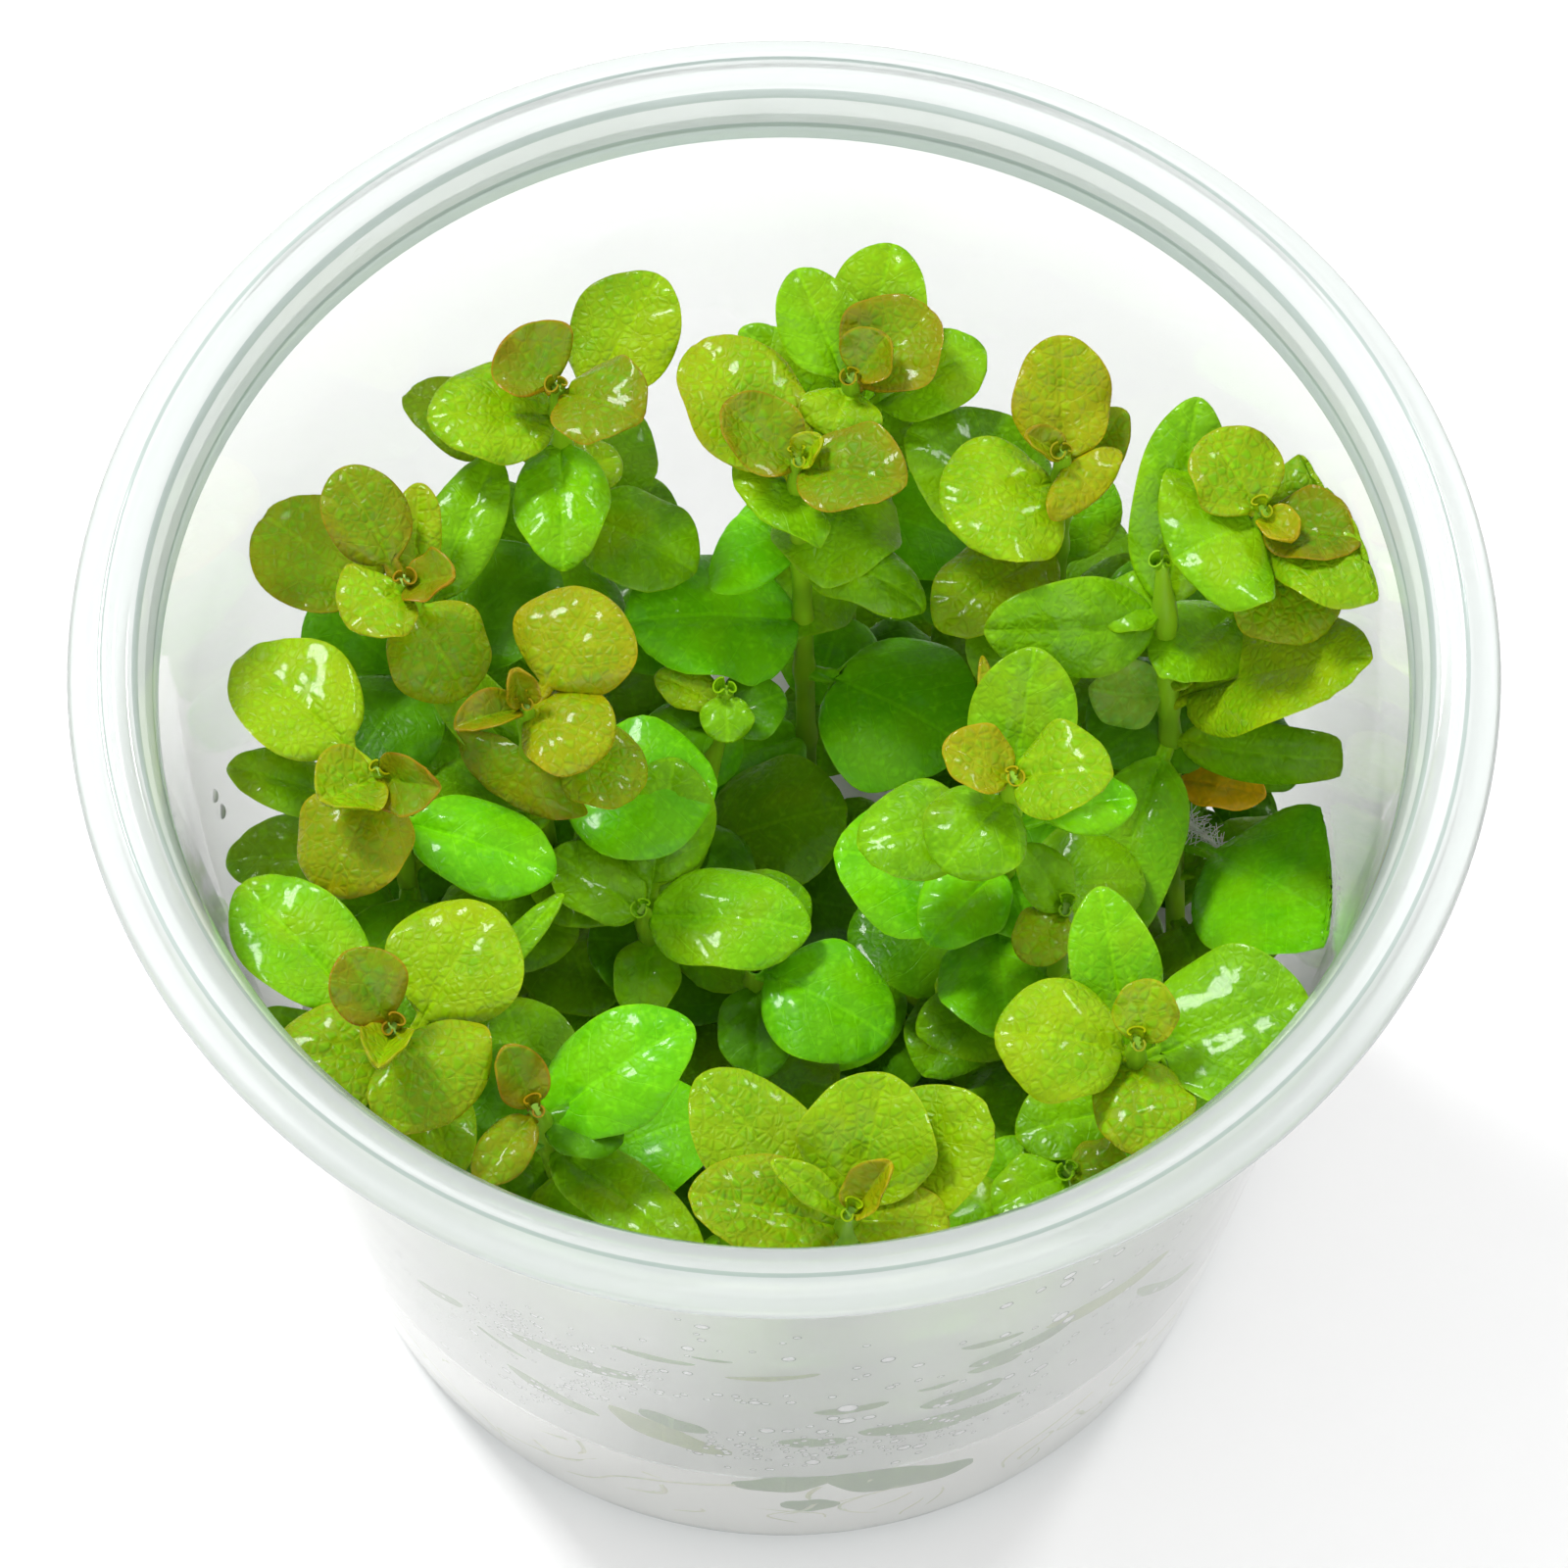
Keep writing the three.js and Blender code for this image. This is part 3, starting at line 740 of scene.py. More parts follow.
def arc(radius: float, height: float, size: float, low: float, high: float, steps: int) -> Profile:
    """Gives points of a round corner in a profile.

    Args:
        radius: how far the corner's middle is from the axis.
        height: the middle's height.
        size: the corner's own radius.
        low: the angle where it starts, in degrees, 0 pointing outwards.
        high: the angle where it ends.
        steps: how many pieces it has.

    Returns:
        Points of radius and height.
    """
    angles = np.radians(np.linspace(low, high, steps + 1))
    return [(radius + size * math.cos(a), height + size * math.sin(a)) for a in angles]


@dataclass(frozen=True)
class CupShape:
    """The cup's sizes, which its contents also keep to."""

    height: float = 88.0
    rim_radius: float = 50.0
    base_radius: float = 37.7
    wall_top: float = 83.0
    wall_top_radius: float = 44.7
    wall: float = 0.7
    floor: float = 1.0
    corner: float = 3.0
    gel_top: float = 22.0

    def inner(self, z: np.ndarray | float) -> np.ndarray | float:
        """Gives the wall's inner radius at a height."""
        return self.base_radius - self.wall + (self.wall_top_radius - self.base_radius) * z / self.wall_top


SHAPE = CupShape()


@dataclass(frozen=True)
class Leaf:
    """One leaf, in the order of the part's own table.

    The drop is how far below the shoot's tip the leaf grows. Azimuth, rise and roll are in
    degrees. Arch, cup and wave are shares of its length or width, and so is its stalk.
    """

    key: str
    drop: float
    azimuth: float
    rise: float
    length: float
    width: float
    arch: float
    cup: float
    roll: float
    stalk: float
    tone: Tone
    own: bool = False
    wave: float = 0.075


YOUNG_TONES = (Tone.AMBER, Tone.MOSS, Tone.OLIVE, Tone.RUST)


@dataclass(frozen=True)
class LeafShaper:
    """Makes the skin of a leaf: a thin blade with a midrib, swollen between its veins."""

    thickness: float = 0.42
    stalk_thickness: float = 0.9
    stalk_half: float = 0.55
    hidden_stalk: float = 0.7
    clearance: float = 0.35
    stations: int = 34
    columns: int = 17
    vein_step: float = 2.5
    puff: float = 0.27
    groove: float = 0.32
    wobble: float = 0.035
    point: float = 0.22
    young_point: float = 0.05
    lump: float = 0.05
    lump_across: float = 2.1
    lump_along: float = 1.7
    small_length: float = 9.0
    midrib: float = 0.5
    fullness: float = 0.9
    first_ring: float = 0.4
    end_share: float = 0.9985
    tip_taper: float = 0.03

    def half_width(self, width: float, stalk: float, point: float, share: np.ndarray) -> np.ndarray:
        """Gives half the blade's width.

        Args:
            width: the blade's full width.
            stalk: the part of the leaf that is its stalk.
            point: how pointed the tip is, from 0 for a round one to 1.
            share: how far along the leaf, from 0 to 1.

        Returns:
            Half widths.
        """
        start = stalk * self.hidden_stalk
        s = np.clip((share - start) / (1.0 - start), 0.0, 1.0) ** self.fullness
        bulge = np.clip(1.0 - (2.0 * s - 1.0) ** 2, 0.0, 1.0)
        pointed = np.where(s > 0.5, point, point * 0.4)
        blade = width / 2.0 * (np.sqrt(bulge) * (1.0 - pointed) + bulge * pointed)
        thin = np.minimum(self.stalk_half, width * 0.12) * np.clip((1.0 - share) / 0.15, 0.0, 1.0)
        return np.sqrt(blade ** 2 + thin ** 2)

    def relief(self, u: np.ndarray, v: np.ndarray, leaf: Leaf, seed: np.random.Generator) -> np.ndarray:
        """Gives the swellings between the veins and the groove of the midrib.

        Args:
            u: millimetres across from the midrib.
            v: millimetres along from the stem.
            leaf: the leaf's sizes.
            seed: the leaf's own chance.

        Returns:
            Heights in millimetres.
        """
        small = min(1.0, leaf.length / self.small_length)
        shift = seed.uniform(0.0, 1.0)
        slant = v - VEIN_LEAN * np.abs(u) - VEIN_BEND * u * u
        step = slant / (self.vein_step * (0.6 + 0.4 * small)) + shift
        swell = np.abs(np.sin(math.pi * step)) ** 0.7
        inside = np.clip(1.0 - (np.abs(u) / (leaf.width * 0.5)) ** 4, 0.0, 1.0)
        middle = np.exp(-(u / self.midrib) ** 2)
        lumps = np.sin(u * self.lump_across + seed.uniform(0, 6))
        lumps = lumps * np.sin(v * self.lump_along + seed.uniform(0, 6))
        height = self.puff * small * swell * inside * (1.0 - middle) + self.lump * small * lumps * inside
        return height - self.groove * small * middle * np.clip(1.2 - v / leaf.length, 0.0, 1.0)

    def add(self, draft: Draft, start: np.ndarray, leaf: Leaf, finish: bpy.types.Material,
            seed: np.random.Generator) -> None:
        """Adds a leaf to a mesh.

        Args:
            draft: the mesh that the leaf goes into.
            start: the point on the stem that it grows from.
            leaf: its sizes.
            finish: its material.
            seed: the leaf's own chance.
        """
        first = self.first_ring / leaf.length
        spacing = 1.0 - np.cos(np.linspace(0.0, math.pi, self.stations))
        share = first + (self.end_share - first) * spacing / 2.0
        across = np.cos(np.linspace(0.0, math.pi, self.columns))
        point = self.young_point if leaf.tone in YOUNG_TONES else self.point
        half = self.half_width(leaf.width, leaf.stalk, point, share)
        turn = share[:, None] * seed.uniform(8, 14) + np.sign(across)[None, :] * seed.uniform(0.5, 2.0)
        ripple = 1.0 + self.wobble * np.sin(turn + seed.uniform(0, 6)) * np.abs(across)[None, :]
        u = half[:, None] * across[None, :] * ripple
        v = np.broadcast_to((leaf.length * share)[:, None], u.shape)
        height = self.bend(leaf, share[:, None], across[None, :], half[:, None], seed)
        height = height + self.relief(u, v, leaf, seed)
        forward, side, up = self.directions(leaf)
        middle = start + v[..., None] * forward + u[..., None] * side + height[..., None] * up

        rings = self.skin(self.kept_inside(middle), leaf, share[:, None], across[None, :])
        blade = self.both_faces(np.stack([u, v], axis=-1))
        from_side = half[:, None] * (1.0 - np.abs(across[None, :])) * 1.3
        rim = self.both_faces(np.minimum(from_side, leaf.length * (1.0 - share[:, None])))
        draft.add_skin(rings, finish, blade, rim, seed.uniform(0.0, 1.0))

    def directions(self, leaf: Leaf) -> tuple[np.ndarray, np.ndarray, np.ndarray]:
        """Gives the directions along a leaf, across it, and up from its face.

        Args:
            leaf: the leaf's sizes.

        Returns:
            The three directions, each one long.
        """
        a, r, roll = (math.radians(x) for x in (leaf.azimuth, leaf.rise, leaf.roll))
        forward = np.array([math.cos(r) * math.cos(a), math.cos(r) * math.sin(a), math.sin(r)])
        flat = np.array([-math.sin(a), math.cos(a), 0.0])
        side = flat * math.cos(roll) + np.cross(forward, flat) * math.sin(roll)
        return forward, side, np.cross(forward, side)

    def bend(self, leaf: Leaf, spread: np.ndarray, across: np.ndarray, half: np.ndarray,
             seed: np.random.Generator) -> np.ndarray:
        """Gives how a blade arches along, cups across, and waves at its edge.

        Args:
            leaf: the leaf's sizes.
            spread: how far along the leaf, from 0 to 1, as a column.
            across: how far across it, from 1 to -1, as a row.
            half: half its width, as a column.
            seed: the leaf's own chance.

        Returns:
            Heights in millimetres.
        """
        height = leaf.arch * leaf.length * 4.0 * spread * (1.0 - spread)
        height = height + leaf.cup * half * across ** 2
        phase = seed.uniform(0, 6) + across * seed.uniform(0.5, 1.6)
        frill = leaf.wave * leaf.width * np.sin(spread * seed.uniform(7, 11) + phase)
        return height + frill * np.abs(across) ** 3 * np.sin(math.pi * spread)

    def skin(self, middle: np.ndarray, leaf: Leaf, spread: np.ndarray, across: np.ndarray) -> np.ndarray:
        """Gives the rings of a thin blade round its middle face.

        Args:
            middle: the points of the middle face.
            leaf: the leaf's sizes.
            spread: how far along the leaf, from 0 to 1, as a column.
            across: how far across it, from 1 to -1, as a row.

        Returns:
            The rings' points.
        """
        lengthwise = np.gradient(middle, axis=0)
        crosswise = -np.gradient(middle, axis=1)
        normal = np.cross(lengthwise, crosswise)
        normal /= np.maximum(np.linalg.norm(normal, axis=-1, keepdims=True), 1e-9)
        stalk = np.exp(-(spread / max(0.12, leaf.stalk * 1.1)) ** 2)
        thick = self.thickness * (1.0 - stalk) + self.stalk_thickness * stalk
        thick = thick * np.sqrt(np.clip(1.0 - np.abs(across) ** 3, 0.0, 1.0))
        thick = thick * np.clip((1.0 - spread) / self.tip_taper, 0.1, 1.0)
        over = middle + normal * (thick / 2.0)[..., None]
        under = middle - normal * (thick / 2.0)[..., None]
        return np.concatenate([over, under[:, -2:0:-1]], axis=1)

    def both_faces(self, values: np.ndarray) -> np.ndarray:
        """Repeats the values of the upper face on the lower one, as the rings run."""
        return np.concatenate([values, values[:, -2:0:-1]], axis=1)

    def kept_inside(self, points: np.ndarray) -> np.ndarray:
        """Presses what would pass through the cup's wall flat against it.

        Args:
            points: points in millimetres.

        Returns:
            The points, each within the wall.
        """
        radius = np.linalg.norm(points[..., :2], axis=-1)
        limit = SHAPE.inner(points[..., 2]) - self.clearance
        squeeze = np.where(radius > limit, limit / np.maximum(radius, 1e-9), 1.0)
        return np.concatenate([points[..., :2] * squeeze[..., None], points[..., 2:]], axis=-1)


LOW_TONES = (Tone.GREEN, Tone.GREEN, Tone.DEEP, Tone.BRIGHT, Tone.LIGHT)

# Leaves deep between the shoots that the solids do without, by the shoot they grow on
HIDDEN_LEAVES = {
    "18": (Leaf("old1", 24, -16, 12, 7.45, 4.2, 0.08, 0, 0, 0.2, Tone.OLD),),
    "09": (Leaf("old1", 14, 97, 25, 14.8, 1.8, 0.08, 0, 0, 0.2, Tone.AMBER),),
    "14": (Leaf("fill1", 25, -11, 4, 16.5, 12, 0.08, 0, 0, 0.2, Tone.DEEP),),
    "17": (Leaf("fill1", 21, -1, 4, 13, 11, 0.08, 0, 0, 0.2, Tone.DEEP),
           Leaf("fill2", 23, -76, 4, 14.5, 11, 0.08, 0, 0, 0.2, Tone.GREEN)),
}


@dataclass(frozen=True)
class Bud:
    """The bud at a shoot's tip: a pair of tiny leaves, still rolled up, in millimetres.

    Each of the two is a curled wall that opens upwards. Its radius is the foot's share of its
    size at the bottom and grows by the mouth's share up to the top. The lap is how far round
    it curls to each side, in radians.
    """

    size: float = 0.7
    second_share: float = 0.72
    wall: float = 0.14
    lap: float = 2.3
    foot: float = 0.35
    mouth: float = 0.62
    tall: float = 2.1
    droop: float = 0.55
    flatten: float = 0.8
    sink: float = 0.5
    rows: int = 9
    columns: int = 15

    def add(self, draft: Draft, tip: np.ndarray, finish: bpy.types.Material,
            chance: np.random.Generator) -> None:
        """Adds the bud to a mesh.

        Args:
            draft: the mesh that the bud goes into.
            tip: the shoot's tip.
            finish: the material of the shoot's youngest leaf.
            chance: the bud's own chance.
        """
        lean = chance.uniform(0.0, 2.0 * math.pi)
        height = np.linspace(0.0, 1.0, self.rows)[:, None]
        for turn, size in ((0.0, self.size), (math.pi, self.size * self.second_share)):
            way = np.array([math.cos(lean + turn), math.sin(lean + turn), 0.0])
            walls = [self.curl(way, height, size, inset) for inset in (0.0, -self.wall)]
            rings = np.concatenate([walls[0], walls[1][:, ::-1]], axis=1) + tip - UP * self.sink
            rim = np.broadcast_to((1.0 - height) * 1.8 * size + 0.08, rings.shape[:2])
            flat = np.stack([rim, rim], axis=-1)
            draft.add_skin(rings, finish, flat, rim, chance.uniform(0.0, 1.0))

    def curl(self, way: np.ndarray, height: np.ndarray, size: float, inset: float) -> np.ndarray:
        """Makes one face of a rolled leaf.

        Args:
            way: the direction that its back faces.
            height: how far up each row is, from 0 to 1, as a column.
            size: the rolled leaf's size.
            inset: what is added to the outer face's radius, below 0 for the inner face.

        Returns:
            The face's points.
        """
        angle = np.linspace(-self.lap, self.lap, self.columns)[None, :]
        cross = np.array([-way[1], way[0], 0.0])
        radius = size * (self.foot + self.mouth * height ** 0.8) + inset
        rise = size * (self.tall * height - self.droop * np.cos(angle) * height)
        middle = (0.25 + 0.5 * height) * size
        out = way * (middle + radius * np.cos(angle) * self.flatten)[..., None]
        return out + cross * (radius * np.sin(angle))[..., None] + UP * rise[..., None]


BUD = Bud()


@dataclass(frozen=True)
class Shoot:
    """One rooted shoot: its foot on the jelly, its tip, and its leaves."""

    name: str
    foot: tuple[float, float]
    tip: tuple[float, float, float]
    leaves: tuple[Leaf, ...]
    radius: float = 0.9
    bow: float = 1.2
    low_leaf_step: float = 5.5
    low_leaf_top: float = 15.0
    low_length: tuple[float, float] = (9.0, 13.5)
    low_width: tuple[float, float] = (0.72, 0.9)
    low_rise: tuple[float, float] = (0.0, 24.0)
    low_sway: float = 20.0
    knot_swell: float = 0.25
    knot_reach: float = 1.2
    tip_share: float = 0.55
    taper: float = 8.0
    stem_rings: int = 46
    stem_sides: int = 12

    def stem_point(self, z: float) -> np.ndarray:
        """Gives the stem's middle at a height, in millimetres.

        Args:
            z: the height above the base.

        Returns:
            The point there.
        """
        share = max(0.0, (z - SHAPE.gel_top) / (self.tip[2] - SHAPE.gel_top)) ** self.bow
        x = self.foot[0] + (self.tip[0] - self.foot[0]) * share
        y = self.foot[1] + (self.tip[1] - self.foot[1]) * share
        return np.array([x, y, z])

    def chance(self, word: str) -> np.random.Generator:
        """Gives a fixed run of chance numbers for one of the shoot's pieces."""
        return np.random.default_rng([ord(c) for c in self.name + word])

    def add_stem(self, draft: Draft) -> None:
        """Adds the stem, thicker at each knot that a leaf grows from.

        Args:
            draft: the mesh that the stem goes into.
        """
        heights = np.linspace(SHAPE.gel_top - 0.5, self.tip[2], self.stem_rings)
        path = np.array([self.stem_point(z) for z in heights])
        knots = np.array([self.tip[2] - leaf.drop for leaf in self.leaves])
        near = np.abs(heights[:, None] - knots[None, :]).min(axis=1)
        radii = self.radius * (0.85 + self.knot_swell * np.exp(-(near / self.knot_reach) ** 2))
        radii *= np.clip(self.tip_share + (self.tip[2] - heights) / self.taper, self.tip_share, 1.0)
        draft.add_skin(tube(path, radii, self.stem_sides), STEM)

    def low_leaves(self) -> list[Leaf]:
        """Makes up the older leaves low on the stem, which show only in the gaps.

        Returns:
            The leaves, in opposite pairs from the top down.
        """
        chance = self.chance("low")
        lowest = min(self.tip[2] - leaf.drop for leaf in self.leaves)
        top = min(lowest - self.low_leaf_step * 0.8, self.tip[2] - self.low_leaf_top)
        turn = chance.uniform(0.0, 180.0)
        made = []
        for row, z in enumerate(np.arange(top, SHAPE.gel_top + 3.0, -self.low_leaf_step)):
            for other in (0.0, 180.0):
                azimuth = turn + 90.0 * row + other + chance.uniform(-self.low_sway, self.low_sway)
                length = chance.uniform(*self.low_length)
                width = length * chance.uniform(*self.low_width)
                tone = LOW_TONES[int(chance.uniform(0.0, len(LOW_TONES)))]
                rise = chance.uniform(*self.low_rise)
                made.append(Leaf(f"low{len(made)}", self.tip[2] - z, azimuth, rise, length, width,
                                 0.1, -0.05, 0.0, 0.2, tone))
        return made

    def build(self, shaper: LeafShaper, plain: LeafShaper) -> list[bpy.types.Object]:
        """Builds the shoot's pieces.

        Args:
            shaper: what makes the leaves that show.
            plain: what makes the low leaves, with fewer points.

        Returns:
            The stem with its smaller leaves, and each leaf that is a piece of its own.
        """
        body = Draft()
        self.add_stem(body)
        youngest = self.leaves[0].tone
        BUD.add(body, np.array(self.tip), LEAF_MATERIALS[youngest], self.chance("bud"))
        pieces = []
        for leaf in (*self.low_leaves(), *HIDDEN_LEAVES.get(self.name, ())):
            start = self.stem_point(self.tip[2] - leaf.drop)
            plain.add(body, start, leaf, LEAF_MATERIALS[leaf.tone], self.chance(leaf.key))
        for leaf in self.leaves:
            draft = Draft() if leaf.own else body
            start = self.stem_point(self.tip[2] - leaf.drop)
            shaper.add(draft, start, leaf, LEAF_MATERIALS[leaf.tone], self.chance(leaf.key))
            if leaf.own:
                piece = draft.finished(f"blade_{self.name}_{leaf.key}")
                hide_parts(f"leaf_{self.name}_{leaf.key}")
                pieces.append(piece)
        shoot = body.finished(f"shoot_{self.name}")
        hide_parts(f"stem_{self.name}")
        return [shoot, *pieces]


SHOOTS = (
    Shoot("01", (-17, 22), (-16.6, 26.1, 77), (
        Leaf("a", 1, 135, 27, 5.75, 7, -0.05, 0.3, 0, 0.26, Tone.RUST),
        Leaf("b", 1, -31, 20, 7.75, 7.75, 0.12, 0.1, 0, 0.18, Tone.MOSS, own=True),
        Leaf("c", 4, -172, 13, 10, 8.5, 0.12, -0.1, 0, 0.08, Tone.FRESH, own=True),
        Leaf("d", 6, 55, 20, 14, 8.5, 0, 0.05, 0, 0.42, Tone.FRESH, own=True),
        Leaf("e", 7, -88, 0, 11, 7, 0.1, -0.1, 0, 0.08, Tone.LIGHT, own=True),
        Leaf("f", 12, 152, 8, 13.75, 6.25, 0.1, 0, 0, 0.42, Tone.FRESH),
        Leaf("g", 12, 22, 0, 4.75, 5, 0.1, 0, 0, 0.1, Tone.FRESH),
        Leaf("h", 16, -29, 0, 11.5, 8.5, 0.08, 0, 0, 0.24, Tone.GREEN),
    )),
    Shoot("02", (-25, 10), (-27.5, 10, 77), (
        Leaf("a", 0.8, -11, 35, 4.75, 4.25, 0, 0.4, 0, 0.08, Tone.RUST),
        Leaf("b", 1.2, -136, 10, 5.5, 6.75, 0.1, 0.1, 0, 0.12, Tone.OLIVE),
        Leaf("c", 3, 120, 25, 10.75, 6.25, 0.06, -0.05, 0, 0.42, Tone.MOSS, own=True),
        Leaf("d", 4, -55, -25, 7.75, 8, 0.12, -0.1, 0, 0.08, Tone.OLIVE, own=True),
        Leaf("e", 8, 143, 8, 14.5, 9.75, 0.06, 0.05, 0, 0.42, Tone.OLIVE, own=True),
        Leaf("f", 9.5, 68, 13, 15.25, 5.75, 0.06, -0.05, 0, 0.32, Tone.GREEN, own=True),
        Leaf("g", 6, 87, 25, 10, 3.75, 0.05, 0, 0, 0.42, Tone.OLIVE),
    )),
    Shoot("03", (-27, -4), (-28.7, -5.2, 77), (
        Leaf("a", 0.8, -143, 22, 5.5, 5.75, -0.05, 0.5, 0, 0.14, Tone.OLIVE),
        Leaf("b", 0.8, -29, 30, 6, 4.5, 0.1, 0.5, 45, 0.1, Tone.RUST),
        Leaf("c", 3, 134, -2, 15.25, 9, 0.08, 0.05, 0, 0.38, Tone.FRESH, own=True),
        Leaf("d", 3, -118, -13, 8.75, 8.5, 0.15, -0.15, 0, 0.08, Tone.AMBER, own=True),
        Leaf("e", 9, 162, 5, 12.75, 4.75, 0.06, 0, 0, 0.42, Tone.GREEN),
        Leaf("f", 9, -18, -5, 12.5, 7.5, 0.1, -0.1, 0, 0.18, Tone.BRIGHT, own=True),
        Leaf("g", 16, -179, 0, 13, 7.5, 0.08, 0, 0, 0.1, Tone.GREEN),
    )),
    Shoot("04", (-17, 0), (-18.7, 1.5, 74), (
        Leaf("a", 0.8, -158, 10, 5.5, 3, 0.1, 0.8, 0, 0.1, Tone.MOSS),
        Leaf("b", 0.5, 113, 60, 3.5, 2.5, 0, 0.8, 0, 0.1, Tone.MOSS),
        Leaf("c", 2, 55, 20, 10.5, 9.5, 0.06, -0.2, 0, 0.42, Tone.AMBER, own=True),
        Leaf("d", 2, -26, 10, 7, 7.5, 0.15, -0.15, 0, 0.08, Tone.AMBER, own=True),
        Leaf("e", 7, -124, -30, 4.25, 11.25, 0.12, -0.15, 0, 0.08, Tone.MOSS),
        Leaf("f", 8, -17, 5, 8.75, 6.75, 0.1, 0, 0, 0.42, Tone.OLIVE),
        Leaf("g", 12, 138, 28, 13, 5, 0.06, 0, 0, 0.08, Tone.GREEN),
    )),
    Shoot("05", (-26, -20), (-27.1, -25.6, 78), (
        Leaf("a", 1, 127, 36, 6.75, 5.5, 0.08, 0.15, 0, 0.3, Tone.RUST),
        Leaf("b", 0.8, -99, 40, 5.5, 3.5, 0, 0.8, 0, 0.1, Tone.OLIVE),
        Leaf("c", 3, -46, -10, 7, 10.25, 0.12, -0.1, 0, 0.08, Tone.OLIVE, own=True),
        Leaf("d", 4.4, -164, 5, 9, 8, 0.12, -0.1, 0, 0.08, Tone.OLIVE, own=True),
        Leaf("e", 6, 133, 5, 17, 8.25, 0.05, 0.05, 0, 0.42, Tone.LIGHT, own=True),
        Leaf("f", 7.5, 58, 17, 12.5, 10, 0.08, -0.05, 0, 0.42, Tone.FRESH, own=True),
        Leaf("g", 12, 53, 0, 18, 2.5, 0.05, 0, 0, 0.42, Tone.GREEN),
        Leaf("h", 12, -66, -5, 8.5, 6.5, 0.1, 0, 0, 0.1, Tone.FRESH),
        Leaf("i", 14, 157, 0, 13, 5, 0.05, 0, 0, 0.1, Tone.GREEN),
    )),
    Shoot("06", (-16, -22), (-17.3, -29.2, 72), (
        Leaf("a", 1, 123, 45, 5.75, 3.75, 0, 0.3, 0, 0.2, Tone.RUST),
        Leaf("b", 1, -126, 0, 6.75, 3.75, 0.12, -0.1, 0, 0.18, Tone.MOSS),
        Leaf("c", 4, -11, -5, 6, 4.5, 0.1, 0, 0, 0.1, Tone.DEEP),
        Leaf("d", 5, 29, 19, 13, 8.5, 0.1, -0.1, 0, 0.08, Tone.BRIGHT),
        Leaf("e", 11, -42, 10, 15.5, 5.5, 0.06, 0, 0, 0.08, Tone.GREEN),
    )),
    Shoot("07", (3, -32), (4.5, -38.9, 77), (
        Leaf("a", 1, 151, 25, 6.75, 2.5, 0.05, 0.2, 0, 0.08, Tone.FRESH),
        Leaf("b", 0.8, 40, 48, 5.5, 3, 0, 0.8, 0, 0.12, Tone.AMBER),
        Leaf("c", 3, 73, 28, 10.75, 9.5, 0.06, 0.2, 0, 0.22, Tone.FRESH),
        Leaf("d", 2.5, -5, 5, 7, 5.5, 0.1, 0.1, 0, 0.1, Tone.OLIVE),
        Leaf("e", 5, 173, 17, 11.5, 7.5, 0.06, 0.05, 0, 0.08, Tone.OLIVE, own=True),
        Leaf("f", 7, 35, 35, 14.25, 9.25, 0.06, 0, 0, 0.42, Tone.FRESH, own=True),
        Leaf("g", 9, 133, 15, 15.5, 8, 0.06, 0, 0, 0.42, Tone.FRESH, own=True),
    )),
    Shoot("08", (24, -24), (24.4, -26.7, 78), (
        Leaf("a", 0.8, 72, 38, 5, 4.5, 0.05, 0.15, 0, 0.16, Tone.OLIVE),
        Leaf("b", 2.5, 175, 10, 10, 9.25, 0.12, -0.12, 0, 0.16, Tone.FRESH, own=True),
        Leaf("c", 3.8, -82, 4, 7.5, 7, 0.15, -0.15, 0, 0.08, Tone.OLIVE, own=True),
        Leaf("d", 5, 17, 16, 13.25, 12, 0.05, 0, 0, 0.24, Tone.GREEN, own=True),
        Leaf("e", 7.5, 100, 25, 13.75, 6.5, 0.06, 0.05, 0, 0.12, Tone.LIGHT, own=True),
        Leaf("f", 14, -166, -2, 8, 6.5, 0.08, 0, 0, 0.1, Tone.GREEN),
    )),
    Shoot("09", (16, -4), (16.3, -5.3, 76), (
        Leaf("a", 0.8, 158, 21, 5.75, 5, 0.08, 0.2, 0, 0.08, Tone.AMBER),
        Leaf("b", 0.7, -9, 25, 7.75, 7.5, 0.12, 0.05, 0, 0.08, Tone.FRESH, own=True),
        Leaf("c", 3.5, -132, -4, 7.5, 8, 0.15, -0.15, 0, 0.12, Tone.GREEN, own=True),
        Leaf("d", 6, 80, 30, 12, 8, 0, 0, 0, 0.1, Tone.GREEN, own=True),
        Leaf("e", 8, -168, 5, 11.25, 7.75, 0.12, -0.1, 0, 0.38, Tone.GREEN),
        Leaf("f", 9, 14, 0, 9.75, 4.75, 0.1, 0, 0, 0.42, Tone.BRIGHT),
        Leaf("g", 16, -132, 0, 8.5, 6.5, 0.1, 0, 0, 0.1, Tone.BRIGHT),
        Leaf("h", 17, -71, -5, 5.5, 6, 0.1, 0, 0, 0.1, Tone.BRIGHT),
    )),
    Shoot("10", (21, 18), (20.4, 20.5, 77), (
        Leaf("a", 0.6, 160, 30, 3.5, 2.5, 0, 0.8, 0, 0.1, Tone.MOSS),
        Leaf("b", 1.5, 90, 25, 9.5, 7.25, -0.02, -0.05, 0, 0.08, Tone.AMBER, own=True),
        Leaf("c", 1.5, -44, -5, 3.75, 7.75, 0.15, -0.1, 0, 0.24, Tone.AMBER),
        Leaf("d", 4, -152, 9, 9.75, 11.25, 0.12, -0.12, 0, 0.16, Tone.FRESH, own=True),
        Leaf("e", 8.5, 156, 16, 13, 10, 0.02, 0, 0, 0.1, Tone.GREEN, own=True),
        Leaf("f", 7, 50, 30, 8.5, 4.5, 0.05, 0, 0, 0.1, Tone.OLIVE),
        Leaf("g", 13, -143, 0, 11.5, 8, 0.1, -0.1, 0, 0.1, Tone.FRESH),
    )),
    Shoot("11", (33, 14), (34.6, 14.6, 79), (
        Leaf("a", 1, 124, 20, 7.25, 7.25, 0.05, 0.1, 0, 0.14, Tone.OLIVE),
